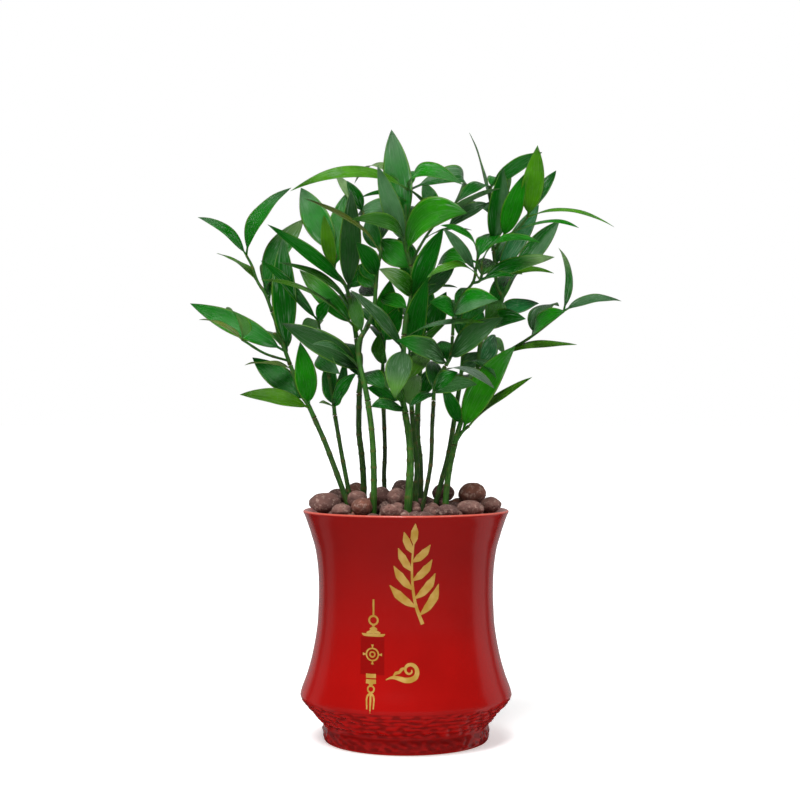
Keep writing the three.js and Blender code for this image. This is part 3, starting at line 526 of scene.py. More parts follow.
stemRows = [
    (1.9, 1.5, (-30, -22, 104), (-33.5, -21, 142), (-37, -19.5, 152), (-45.7, -18, 175.5),
     (-51.2, -16.5, 189.8), (-57.5, -14, 203.5)),
    (1.6, 1.3, (-32, -13, 104), (-34, -13, 142), (-35.8, -12, 155.6), (-40.6, -9, 181.2), (-45, -5, 205)),
    (2.1, 1.7, (-26, 9, 104), (-27, 8, 142), (-27.4, 7, 166), (-28.4, 5, 181), (-30.1, 3, 195),
     (-29.8, 1, 219)),
    (2, 1.7, (-20, -36, 104), (-20, -35, 142), (-19.7, -34, 164), (-20, -33, 180.6), (-21.3, -31.5, 197),
     (-23.5, -29, 214)),
    (1.5, 1.3, (-13, 4, 104), (-13, 5, 142), (-14, 8, 166), (-13.6, 12, 180), (-13.9, 16, 195),
     (-15.1, 20, 225)),
    (2.6, 1.9, (0, -39, 104), (0.8, -38, 142), (2.4, -36, 166), (2.7, -34, 180.8), (1.5, -31, 195),
     (-0.3, -29.5, 206.5)),
    (1.8, 1.5, (6, -28, 104), (6, -28, 142), (6.1, -26, 159), (6.9, -22, 173), (4.9, -18, 194),
     (3.8, -16, 207)),
    (2.1, 1.8, (9, -8, 104), (9, -8, 142), (8.7, 0, 177), (7.4, 3, 190), (7.3, 5, 205)),
    (1.4, 1.2, (7.5, -37, 104), (9, -37, 142), (11.8, -37, 157), (15.3, -37.5, 177), (16.1, -38, 200),
     (16.9, -38, 214)),
    (1.7, 1.5, (15, -20, 104), (17, -18, 142), (21, -16, 159.5), (26.5, -11, 179.3), (29.6, -8, 197),
     (32.1, -6, 212.5)),
    (2, 1.7, (23, -29, 104), (24.2, -28, 146), (25.3, -26, 160), (27.4, -24, 174), (30.1, -21.5, 186.5)),
]

sprayRows = {
    "01_low": ([
        (1.5, 1.3, (-57.7, -13.9, 204), (-62.5, -12, 213.9), (-67.2, -11, 220.8), (-71, -9, 231.8),
         (-73, -8, 237)),
    ], [
        (-60.2, -13, 209.9, -103.4, -25, 218.4, 13, 4, 0, 0, -0.75, 0.65, "olive"),
        (-62.5, -12, 213.9, -98.5, 5, 242.7, 16, 2, 0, 0.2, -1, 0.3, "dark"),
        (-72.4, -8, 235.5, -100.1, -28, 236.6, 10, 2, 0, 0, 0.1, 1, "tan"),
        (-60.8, -13, 211.5, -65.5, -30, 251.1, 14, 3, 0, 0.1, -1, 0.25, "bright"),
        (-63, -12, 214.5, -82, 34, 218, 15, 8, 0, 0, -0.3, 1, "mid"),
    ]),
    "01_mid": ([
        (1.3, 1.1, (-73.2, -8, 237.6), (-78.2, -6, 250.7), (-80.6, -5, 255.7), (-82.7, -4, 264.8),
         (-85, -3.5, 271)),
        (0.8, 0.8, (-74, -7, 240), (-88.6, -16, 244.4), (-102, -24, 252.8)),
        (1.3, 1.1, (-79, -6, 251), (-83.5, -9, 257.5)),
    ], [
        (-75.5, -6, 246, -77.8, -8, 318.6, 16, 3, 0, -0.1, -1, 0, "dark"),
        (-76.5, -6, 246, -139, 8, 277.6, 15, 4, 0, 0.1, -1, 0.3, "mid"),
        (-102, -24, 252.8, -108.5, -56, 270, 15, 5, 0, 0.2, -0.6, 0.8, "bright/olive"),
        (-102, -24, 252.8, -130.7, -10, 265.9, 11, 3, 0, -0.3, 0.1, 1, "tan"),
        (-75.5, -6.5, 245, -92, 40, 256, 15, 8, 0, 0.2, -0.4, 1, "mid"),
    ]),
    "01_top": ([
        (1.1, 0.8, (-85.2, -3.4, 271.6), (-89.8, -2, 283.3), (-94.6, -1, 290.9), (-98.5, 0, 301.5),
         (-101.8, 0, 307.5)),
    ], [
        (-94.8, -1, 291, -124, 25, 311.6, 10, 3, 0, 0.5, -0.4, 0.75, "olive"),
        (-90, -2, 284, -66.3, 20, 333.5, 19, 7, 0, -0.45, -0.85, 0.3, "dark>pale"),
        (-101.8, 0, 307.5, -131.4, -12, 330.5, 12, 5, 0, 0.3, -0.6, 0.7, "mid>grey"),
        (-101.8, 0, 307.5, -73.7, 10, 352.5, 15, 9, 0, -0.6, -0.75, 0.3, "mid>grey"),
        (-87, -3, 277, -78, 42, 312, 14, 7, 0, -0.3, -0.5, 1, "mid"),
        (-90.5, -2, 285, -90, 46, 300, 15, 9, 0, 0.3, -0.3, 1, "dark"),
    ]),
    "02_low": ([
        (1.3, 1.1, (-45.1, -4.8, 205.6), (-46, -4, 214), (-49, -1.5, 230)),
    ], [
        (-45.4, -4.5, 210.5, -47.6, 12, 242.5, 13, 3, 0, -0.5, -0.8, 0, "dark"),
        (-45.4, -4.5, 210.5, -30.8, -22, 231.9, 12, 3, 0, -0.5, -0.8, 0.3, "mid"),
        (-45.6, -4.2, 212, -39.4, 10, 240.4, 9, 2, 0, 0.6, -0.6, 0.2, "dark"),
        (-45.4, -4.5, 210.5, -54.5, -18, 213.4, 5, 1, 0, 0, -0.7, 0.7, "pale"),
    ]),
    "02_top": ([
        (1.1, 0.8, (-49.1, -1.4, 230.6), (-53, 1, 249), (-56.2, 4, 266.2)),
    ], [
        (-52.8, 1, 248, -41, -25, 231.3, 15, 6, 0, -0.6, -0.8, 0.1, "dark>grey"),
        (-56.2, 4, 266.2, -90.4, -26, 301.8, 11, 2, 0, 0.4, -0.7, 0.5, "mid"),
        (-56.2, 4, 266.2, -47.3, -15, 278.9, 9, 2, 0, 0, -1, 0.3, "mid"),
        (-55.9, 4, 265, -66, 44, 254, 13, 6, 0, 0, 0.1, 1, "mid"),
    ]),
    "03_low": ([
        (1.7, 1.5, (-29.8, 1, 219.6), (-28.6, -1, 232), (-30, -2, 240), (-31.4, -4, 254)),
    ], [
        (-29, -2, 234, -76.3, -40, 262.1, 17, 4, 0, 0.1, -1, 0.35, "darkGrey"),
        (-28.6, -1.5, 233, -56.8, -52, 248.6, 12, 5, 0, 0.3, -0.55, 0.8, "dark>grey"),
        (-28.6, -1.5, 232, -13, -33, 221.5, 15, 3, 0, 0.3, -1, 0.1, "dark"),
        (-29, -2, 236, -21.8, -30, 266.6, 11, 2, 0, -0.9, -0.25, 0.3, "greyMauve"),
        (-29, -1, 230, -54, 44, 256, 15, 8, 0, 0.2, -0.5, 1, "mid"),
        (-29, 0, 228, -38, 48, 246, 13, 8, 0, -0.2, -0.4, 1, "dark"),
    ]),
    "03_mid": ([
        (1.5, 1.3, (-31.5, -4.1, 254.6), (-33, -5, 264), (-35, -6, 275), (-36, -6.5, 280)),
    ], [
        (-33, -5, 262, -89.7, -36, 288.9, 11, 7, 0, 0.3, -0.35, 0.9, "olive"),
        (-34, -5.5, 270, -79.2, -28, 300.3, 11, 8, 0, 0.4, -0.5, 0.8, "oliveDark"),
        (-33, -5, 262, -68.5, 8, 299.2, 13, 3, 0, 0, -1, 0.1, "bright>olive"),
        (-32, -4.5, 258, -28, -14, 268, 4, 1, 0, 0, -1, 0.2, "lime"),
        (-33.2, -5, 264, -46, 52, 284, 15, 9, 0, 0.1, -0.5, 1, "mid"),
    ]),
    "03_top": ([
        (1.3, 0.9, (-36.1, -6.6, 280.6), (-37.5, -7, 286), (-41, -8, 292), (-45.5, -9, 298),
         (-44, -8, 307)),
    ], [
        (-38, -7, 287, -85.7, -32, 323.6, 13, 2, 0, -0.2, -0.6, 0.6, "midDark"),
        (-36.7, -7, 284, -34.2, -22, 346.8, 14, 3, 0, 0.15, -1, -0.05, "darkGrey"),
        (-45.3, -9, 297, -38.2, 8, 348.9, 16, 3, 0, -0.2, -1, 0, "bright"),
        (-45.6, -9, 298, -51.2, -24, 330.7, 9, 2, 0, -0.2, -1, 0.2, "olive"),
        (-44, -8, 307, -68, 14, 353, 18, 4, 0, -0.3, -0.9, 0.2, "mid>grey"),
        (-45.3, -9, 300, -58, 44, 335, 15, 9, 0, 0.3, -0.5, 1, "mid"),
        (-37, -7, 285, -18, 10, 304, 13, 3, 0, 0, -1, 0.2, "mid"),
    ]),
    "04_low": ([
        (1.7, 1.4, (-23.7, -28.8, 214.6), (-26, -27.5, 226), (-29, -25, 240), (-29.3, -23.5, 251),
         (-24, -21.5, 261)),
    ], [
        (-25.4, -27.8, 223, -5, -10, 214.9, 9, 2, 0, 0.2, -1, 0.3, "mid"),
        (-27, -22.5, 256.5, -34, 2, 283, 10, 3, 0, -0.3, -1, 0.2, "oliveDark"),
    ]),
    "04_mid": ([
        (1.4, 1.2, (-23.7, -21.3, 261.6), (-20, -19.5, 272), (-19, -18, 285), (-18, -16, 298)),
    ], [
        (-19, -18, 280, -29, 8, 288.7, 10, 2, 0, 0, -1, 0, "deep"),
        (-19, -18, 285, -30, -2, 296, 11, 2, 0, 0, -1, 0.2, "bright"),
        (-18.6, -17, 288, -27, 6, 303, 12, 3, 0, 0, -1, 0.2, "mid"),
        (-18.4, -16.6, 293, -31, -28, 313, 13, 3, 0, 0.3, -1, 0.2, "dark"),
    ]),
    "04_top": ([
        (1.2, 1, (-18, -15.9, 298.6), (-16, -14, 310), (-22, -6, 325), (-28, 2, 336)),
    ], [
        (-16.2, -14, 308, -61.9, -40, 338.4, 11, 5, 0, 0.5, -0.35, 0.75, "tan"),
        (-16, -14, 309, -25, -2, 330.8, 12, 2, 0, -0.3, -0.9, 0, "dark"),
        (-28, 2, 336, -45.7, 15, 362.3, 7, 2, 0, 0, -1, 0.3, "pale"),
        (-28, 2, 336, -37.7, -8, 354.3, 9, 2, 0, 0.2, -1, 0.1, "mid"),
        (-17, -12, 312, -8, 40, 330, 15, 8, 0, -0.2, -0.5, 1, "mid"),
    ]),
    "05": ([
        (1.3, 1, (-15.1, 20.1, 225.6), (-15, 23, 240), (-14, 28, 256)),
    ], [
        (-14.9, 23, 238, -17, 2, 258.1, 11, 2, 0, -0.3, -1, 0.3, "oliveDark"),
        (-14, 28, 256, -10, -2, 292, 17, 2, 0, 0, -1, 0.3, "bright"),
        (-14, 28, 256, -38, 66, 276, 15, 9, 0, 0.2, -0.5, 1, "mid"),
        (-14, 28, 256, 4, 58, 268, 14, 9, 0, -0.1, -0.3, 1, "dark"),
        (-14.3, 26, 251, -22, 72, 262, 15, 8, 0, 0, -0.1, 1, "mid"),
        (-14, 27.5, 254, -2, 6, 277, 13, 3, 0, 0, -1, 0.2, "mid"),
    ]),
    "06_low": ([
        (1.9, 1.6, (-0.4, -29.4, 207.1), (-2.3, -28, 216), (-2.8, -26, 230), (-1.5, -24, 246),
         (-1.3, -23, 255)),
    ], [
        (-2, -24, 246, -34.2, -36, 282.6, 10.5, 4, 0, 0.45, -0.8, 0.4, "darkGrey"),
        (-1.8, -24, 247, -6.9, -52, 215.7, 17, 3, 0, 0, -0.75, 0.65, "darkGrey>olive"),
        (-0.8, -29, 209.5, -21.2, -50, 210.7, 13, 2, 0, 0, -0.75, 0.65, "dark"),
        (-1.5, -28, 213, -8, -40, 224, 7, 1, 0, 0.4, -1, 0.3, "oliveDark"),
        (-1.4, -23.2, 253, 47.5, -60, 261.2, 10, 5, 0, -0.2, -0.35, 0.9, "grey>lime"),
    ]),
    "06_mid": ([
        (1.6, 1.4, (-1.2, -22.9, 255.6), (0, -21, 265), (3.4, -18, 280), (4.4, -16.5, 290),
         (3.2, -16, 299)),
    ], [
        (3.3, -18, 279, 22.9, -46, 319.4, 14, 2, 0, -0.3, -0.95, 0, "dark"),
        (3.5, -18, 281, -16.6, -50, 294.3, 14, 5, 0, 0.2, -1, 0.25, "oliveDark>pale"),
        (3.6, -16.2, 297, -17, 2, 318, 17, 2, 0, 0, -1, 0, "bright"),
        (2.5, -19, 277, 31, 0, 300, 12, 2, 0, 0, -1, 0.1, "deep"),
        (3.7, -18, 283, 33, 0, 287, 7, 2, 0, -0.3, 0.15, 0.95, "dark"),
        (3.8, -16.5, 294, 12, 46, 300, 15, 8, 0, -0.3, -0.2, 1, "mid"),
        (1.7, -19.6, 272, -16, 6, 281, 11, 3, 0, 0, -1, 0.3, "bright"),
        (3.9, -17, 288, -4, 18, 322, 15, 4, 0, 0, -1, 0.3, "midDark"),
    ]),
    "06_high": ([
        (1.4, 1.1, (3.1, -16, 299.6), (0.5, -15, 308), (-1, -14.5, 314), (-0.3, -12.3, 325.5)),
        (0.9, 0.8, (3, -16, 301), (12, -5, 318), (20, 5, 330)),
    ], [
        (-0.6, -12.8, 323, -9.3, 4, 388.9, 18, 2, 0, -0.1, -1, 0, "midDark>grey"),
        (-1, -14.6, 313, -17.6, -38, 359.2, 12.5, 3, 0, -0.1, -1, 0.2, "grey"),
        (-1, -14.6, 313, -33.4, -45, 324.9, 13, 10, 0, 0.3, -0.8, 0.5, "oliveDark"),
        (0.6, -15, 307, 37.2, -50, 328, 22, 6, -11, -0.2, -1, 0.35, "vivid"),
        (20, 5, 330, 11.1, 10, 356.5, 11, 2, 0, 0.2, -1, 0, "dark"),
        (20, 5, 329, 59.3, -20, 347.4, 9, 3, 0, 0.3, -0.1, 0.9, "grey"),
        (12, -5, 318, 41.6, -15, 321.9, 8, 3, 0, 0, -0.3, 1, "dark"),
        (20, 5, 330, -3.9, -25, 349.8, 8, 2, 0, 0.6, 0.1, 0.75, "mid"),
        (0, -12.5, 322, 14, 50, 335, 15, 10, 0, 0.2, -0.3, 1, "mid"),
    ]),
    "06_top": ([
        (1.1, 0.8, (-0.3, -12.1, 326.1), (0.3, -10, 338), (1.5, -8, 348)),
    ], [
        (1.5, -8, 348, -70.9, -42, 342.5, 11, 15, 0, 0, -0.8, 0.6, "lime"),
        (1.5, -8, 348, -33.8, 25, 357.2, 10, 14, 0, 0, -0.4, 0.9, "pale"),
        (0.5, -9.5, 341, -28.4, -20, 341.7, 8, 4, 0, 0.5, -0.3, 0.8, "mid"),
        (0, -10.5, 335, -31.3, 10, 334.3, 12, 7, 0, 0, -0.9, 0.4, "grey"),
        (1.5, -8, 348, 29.9, 30, 342, 15, 26, 0, 0.2, -0.9, 0.5, "grey/dark"),
        (1.5, -8, 347, 35.1, -38, 346.9, 15, 15, 0, -0.1, -0.8, 0.6, "bright"),
        (1.4, -8, 347, -6, 48, 364, 15, 8, 0, 0.1, -0.5, 1, "mid"),
    ]),
    "07": ([
        (1.5, 1.1, (3.8, -15.9, 207.6), (2.5, -10, 225), (1.6, -4, 244)),
    ], [
        (1.6, -4, 243, 13.5, -34, 290, 15, 3, 0, -0.2, -0.95, 0.2, "dark"),
        (3.6, -15, 209.5, 5.7, -48, 229.8, 15, 4, 0, 0, -0.75, 0.65, "oliveDark"),
        (2, -7, 234, -18, 42, 216, 14, 7, 0, 0, 0.1, 1, "mid"),
        (1.7, -4.5, 241, 26, -18, 264, 8, 2, 0, -0.3, -0.8, 0.5, "oliveDark"),
    ]),
    "08": ([
        (1.8, 1.2, (7.3, 5.1, 205.6), (8.6, 10, 225), (9.8, 16, 242), (15.3, 28, 262)),
    ], [
        (12.2, 21, 247.5, 0, -20, 226, 15, 4, 0, 0, -1, 0.3, "olive"),
        (15.3, 28, 262, 8, 62, 292, 15, 9, 0, -0.1, -0.6, 1, "mid"),
        (15.3, 28, 262, 44, 60, 280, 14, 8, 0, -0.2, -0.5, 1, "dark"),
        (12, 21, 251, -10, 60, 280, 15, 9, 0, 0.2, -0.5, 1, "mid"),
        (8, 7, 213, 24, 48, 236, 13, 6, 0, 0, -0.3, 1, "mid"),
        (14, 25.5, 258, 26, 6, 285, 15, 3, 0, 0, -1, 0.2, "dark"),
    ]),
    "09_low": ([
        (1.2, 1.1, (16.9, -38, 214.6), (17.3, -38, 221), (19.5, -38, 229), (24, -38, 235.5)),
    ], [
        (17.2, -38, 219, 2.4, -52, 210.7, 9, 2, 0, 0, -0.5, 0.85, "dark"),
        (20.5, -38, 231, 52.3, -74, 221.2, 11, 7, 0, 0.1, -0.35, 0.95, "greyMauve"),
        (17.4, -38, 220, 42.2, -72, 223.6, 14, 3, 0, -0.1, -0.85, 0.5, "darkGrey"),
        (17.6, -38, 221.5, 31.2, -55, 231.5, 12, 2, 0, -0.2, -0.9, 0.4, "mid"),
        (17.3, -38, 220, 16, -5, 240, 11, 3, 0, 0.2, -1, 0.3, "deep"),
    ]),
    "09_mid": ([
        (1.1, 1, (24.4, -38, 236), (27.5, -37.5, 242), (28.6, -36, 254)),
    ], [
        (24.8, -38, 237, -5.6, -66, 250.1, 17, 4, 0, 0.1, -0.85, 0.5, "darkGrey>mid"),
        (25.5, -38, 238.5, 21.8, -10, 252.5, 12, 2, 0, 0, -1, 0.3, "dark"),
        (26.5, -38, 240, 58.2, -62, 264.1, 16, 4, 0, -0.15, -0.9, 0.4, "darkGrey"),
    ]),
    "09_high": ([
        (1, 0.9, (28.7, -35.9, 254.6), (29.4, -35, 267), (31, -34, 273), (36, -33, 281)),
    ], [
        (29.4, -35, 266, 14.2, -62, 273, 15, 4, 0, 0.2, -0.9, 0.4, "mid"),
        (30, -34.8, 268.5, 24, -5, 278, 9, 3, 0, 0, -0.6, 0.8, "mid"),
        (29.8, -34.8, 268, 55.1, -66, 274.1, 18, 6, 0, -0.25, -0.85, 0.45, "mid/grey"),
        (30.5, -34.4, 271, 38.7, -8, 286.3, 9, 2, 0, 0, -1, 0.2, "mid"),
    ]),
    "09_top": ([
        (0.9, 0.8, (36.4, -32.9, 281.6), (41.5, -31.5, 288), (44.2, -30, 302)),
        (0.9, 0.8, (40.5, -31.7, 287), (46, -30.5, 289), (47, -29.5, 301)),
    ], [
        (46, -30.5, 289, 90.4, -48, 301.6, 13, 3, 0, -0.1, -0.75, 0.6, "dark>pale"),
        (46, -30.5, 289, 91.7, -30, 293.3, 11, 4, 0, -0.2, -0.5, 0.85, "olive"),
        (45.5, -30.6, 288.5, 65.2, -55, 289.1, 9, 2, 0, 0, -0.6, 0.8, "mid"),
        (46.2, -30.3, 291, 54, 0, 305, 13, 2, 0, 0, -1, 0.3, "oliveDark"),
        (47, -29.5, 301, 81.3, -55, 309.4, 11, 9, 0, -0.2, -0.5, 0.85, "bright"),
        (44.2, -30, 302, 20.7, -58, 319.7, 10, 7, 0, 0.55, -0.5, 0.65, "bright"),
        (43, -30.8, 295, 22.3, -50, 319, 9, 1, 0, 0.5, -0.8, 0.2, "grey"),
        (44, -30.2, 300, 19.8, -12, 298.9, 14, 8, 0, 0, -0.85, 0.5, "bright"),
        (46, -30.5, 289, 12.3, -52, 288.4, 11, 9, 0, 0.1, -0.45, 0.9, "lime"),
        (44.2, -30, 302, 60, 12, 322, 13, 5, 0, 0, -0.4, 1, "mid"),
    ]),
    "10": ([
        (1.5, 1, (32.2, -5.9, 213.1), (34.2, -4, 225), (35.8, 0, 239), (36.5, 2, 250)),
    ], [
        (35.6, 0, 238, 55.6, -36, 227.9, 10, 6, 0, 0.1, -0.4, 0.9, "grey/dark"),
        (34.9, -2, 232, 46.7, 15, 246.6, 11, 2, 0, 0, -1, 0.2, "grey"),
        (36.5, 2, 250, 58, 50, 284, 15, 9, 0, -0.2, -0.5, 1, "mid"),
        (36.5, 2, 250, 37, 46, 284, 14, 5, 0, 0, -0.5, 1, "dark"),
        (36.3, 1, 247, 66, 48, 246, 14, 10, 0, 0, -0.2, 1, "mid"),
        (34.2, -4, 225, 44, 45, 222, 14, 8, 0, 0, 0, 1, "mid"),
        (36.2, 0.8, 245, 50, 10, 272, 13, 3, 0, 0, -1, 0.2, "midDark"),
    ]),
    "11_low": ([
        (1.7, 1.3, (30.2, -21.4, 187.1), (33, -19, 197), (39, -14, 215), (45, -8.5, 234)),
        (1.1, 1, (30.4, -21.3, 188), (35.3, -20.3, 195.5), (39.2, -19.5, 198.8)),
    ], [
        (35.3, -20.3, 195.5, 67.8, -30, 248.6, 18, 3, -3, -0.15, -0.95, 0.3, "vivid"),
        (39.2, -19.5, 198.8, 77.9, -32, 229.2, 11, 2, 0, -0.3, -0.45, 0.85, "olive"),
        (44.4, -9, 232, 56, 42, 224, 14, 7, 0, 0, 0.1, 1, "mid"),
        (34, -18.2, 200, 22.5, -28, 224, 9, 3, 0, 0, -1, 0.2, "dark"),
    ]),
    "11_side": ([
        (1, 0.8, (46.8, -9, 236.5), (61, -13, 244), (70, -16, 249.5), (79, -20, 255.2),
         (98, -25, 270.3)),
    ], [
        (58, -12, 242.2, 105.7, -32, 249.1, 11, 4, 0, 0, -0.5, 0.87, "olive"),
        (79, -20, 255.2, 98.7, 10, 275.8, 16, 8, 0, -0.5, -0.6, 0.6, "darkGrey"),
        (79, -20, 255.2, 96.4, -50, 268.7, 15, 4, 0, -0.1, -0.85, 0.5, "bright"),
        (98, -25, 270.3, 95.8, -15, 310.9, 9, 5, 0, 0.75, -0.65, 0, "dark>pale"),
        (98, -25, 270.3, 135.4, -15, 277.2, 10, 5, 0, 0, -0.6, 0.8, "grey"),
    ]),
    "11_mid": ([
        (1.3, 1.2, (45.2, -8.4, 234.6), (47, -6, 250), (53, -3, 264), (58.5, -1.5, 274)),
    ], [
        (45.4, -8, 237, 58.1, 20, 258, 13, 2, 0, 0.4, -0.9, 0, "bluish"),
        (52.2, -3, 262, 73.6, -38, 264.6, 14, 5, 0, 0, -1, 0.3, "mid"),
        (55, -2.5, 268, 86.7, 20, 278.4, 13, 3, 0, 0, -0.8, 0.6, "bluish"),
        (55, -2.5, 268, 78, 50, 300, 15, 9, 0, -0.3, -0.5, 1, "mid"),
    ]),
    "11_high": ([
        (1.2, 1.1, (58.8, -1.4, 274.6), (61.5, -1, 280), (58, 0, 288), (57, 1.5, 300), (56, 2, 310)),
        (0.9, 0.8, (61.5, -1, 280), (66.5, 0, 292)),
    ], [
        (61, -1, 279, 49, -26, 263, 13, 3, 0, 0.2, -0.9, 0.4, "oliveDark"),
        (66.5, 0, 292, 99.8, 18, 332.3, 13, 3, 0, -0.1, -1, 0.1, "dark/grey"),
        (57.5, 1, 294, 87, 25, 343.4, 12, 4, 0, 0, -1, 0.1, "bluish"),
        (57, 1.5, 300, 78, 55, 318, 15, 9, 0, -0.2, -0.4, 1, "mid"),
    ]),
    "11_fork": ([
        (0.9, 0.8, (57.4, 1, 312), (61.5, -4, 318), (70, -6, 323), (77, -8, 331)),
    ], [
        (61.5, -4, 318, 74.2, -24, 356.3, 13, 2, 0, -0.1, -1, 0.1, "bright"),
        (77, -8, 331, 81.3, -32, 372.5, 14, 2, 0, 0.1, -1, 0.1, "lime"),
        (77, -8, 331, 97.7, 18, 364.8, 10, 2, 0, -0.4, -0.8, 0, "dark"),
        (77, -8, 331, 130.3, -20, 323.1, 10, 7, 0, 0, -0.35, 0.93, "lime"),
        (66, -5, 320.7, 105.5, -45, 319.6, 10, 5, 0, 0, -0.45, 0.9, "bright"),
    ]),
    "11_top": ([
        (1.1, 0.9, (55.8, 2, 310.6), (54.5, 3, 330), (54, 5, 352)),
    ], [
        (54, 5, 352, 32.5, -30, 337.9, 11, 5, 0, 0.1, -0.5, 0.85, "dark"),
        (54, 5, 352, 85.7, -15, 371, 13, 2, 0, -0.2, -0.8, 0.5, "dark"),
        (54.2, 4, 341, 40.5, 5, 387.2, 10, 1, 0, 0.95, -0.2, 0.25, "grey"),
        (54.2, 4, 342, 27.4, 15, 327.3, 12, 3, 0, 0, -0.8, 0.6, "darkGrey"),
        (55.6, 2, 313, 61.1, -12, 362.1, 14, 2, 0, 0.2, -1, 0, "dark/grey"),
        (54, 5, 350, 68, 60, 352, 14, 11, 0, 0.1, 0, 1, "mid"),
        (54.4, 3.3, 333, 36, 55, 338, 15, 10, 0, 0.2, -0.1, 1, "dark"),
    ]),
}


def makeClay():
    made, tree, shader = newMaterial("fired clay", {"Roughness": 0.86})
    tint = readTint(tree)
    place = readPlace(tree)
    clouds = addMottle(tree, {"Shade": paint(84, 60, 54), "Scale": 160.0, "Amount": 0.5, "Grain": 1500.0})
    tree.links.new(tint, clouds.inputs["Color"])
    spot = addNode(tree, "ShaderNodeTexCoord")
    dust = addNode(tree, "ShaderNodeTexNoise", {"Scale": 420.0, "Detail": 6.0, "Roughness": 0.7})
    tree.links.new(spot.outputs["Object"], dust.inputs["Vector"])
    dusty = addMath(tree, "MULTIPLY", addRange(tree, dust.outputs["Fac"], 0.5, 0.68), 0.6)
    crusted = addMix(tree, dusty, clouds.outputs["Color"], clayLook["crust"])
    pores = addNode(tree, "ShaderNodeTexVoronoi", {"Scale": 620.0, "Randomness": 1.0})
    tree.links.new(spot.outputs["Object"], pores.inputs["Vector"])
    porous = addMath(tree, "SUBTRACT", 1.0, addRange(tree, pores.outputs["Distance"], 0.1, 0.3))
    broken = addMath(tree, "MULTIPLY", porous, addRange(tree, place[0], 0.35, 0.8))
    tree.links.new(addMix(tree, broken, crusted, clayLook["pore"]), shader.inputs["Base Color"])
    height = addMath(tree, "SUBTRACT", clouds.outputs["Height"], addMath(tree, "MULTIPLY", broken, 1.2))
    addBump(tree, shader, height, 0.0006)
    return made


def unitBall(level):
    bpy.ops.mesh.primitive_ico_sphere_add(subdivisions=level, radius=1)
    ball = bpy.context.object
    points = [tuple(v.co) for v in ball.data.vertices]
    faces = [tuple(p.vertices) for p in ball.data.polygons]
    bpy.data.objects.remove(ball)
    return points, faces


fineBall, coarseBall = unitBall(5), unitBall(3)


def addPebble(skin, ball, row, seed, tone, cracked):
    # a fired ball: lumpy, a little flattened, with a cracked, porous crust on some
    x, y, z, length, depth, height, turn = row
    start = len(skin.points)
    offset = Vector((seed * 3.7, seed * 1.9, seed * 5.3))
    cosTurn, sinTurn = math.cos(math.radians(turn)), math.sin(math.radians(turn))
    for p in ball[0]:
        v = Vector(p)
        lumps = 1 + 0.10 * noise.noise(v * 1.3 + offset) + 0.035 * noise.noise(v * 3.6 + offset)
        seam = abs(noise.noise(v * 2.1 + offset * 1.7))
        open_ = cracked * (1 - smooth(0.0, 0.09, seam))
        crater = cracked * max(0.0, noise.noise(v * 6.5 + offset) - 0.28)
        rough = 0.012 * noise.noise(v * 11 + offset)
        v = v * (lumps - 0.05 * open_ - 0.16 * crater + rough) * 0.985
        px, py, pz = v.x * length / 2, v.y * depth / 2, v.z * height / 2
        shade = 0.88 + 0.24 * noise.noise(v * 1.7 - offset)
        skin.addPoint((x + px * cosTurn - py * sinTurn, y + px * sinTurn + py * cosTurn, z + pz),
                      (min(1.0, 0.9 * open_ + 5 * crater), 0, 0), tuple(c * shade for c in tone))
    skin.faces.extend(tuple(start + i for i in face) for face in ball[1])


def bedHeight(radius):  # top of the pebble bed at this distance from the middle
    share = max(0.0, 1 - radius / 59.5)
    return 142 + 10 * (1 - (1 - share) ** 2)


def stemNear(x, y, z, reach):
    for row in stemRows:
        points = [np.array(p, dtype=float) for p in row[2:]]
        for a, b in zip(points, points[1:]):
            if a[2] <= z <= b[2]:
                t = (z - a[2]) / (b[2] - a[2])
                spot = a + (b - a) * t
                if math.hypot(spot[0] - x, spot[1] - y) < reach + row[0]:
                    return True
    return False


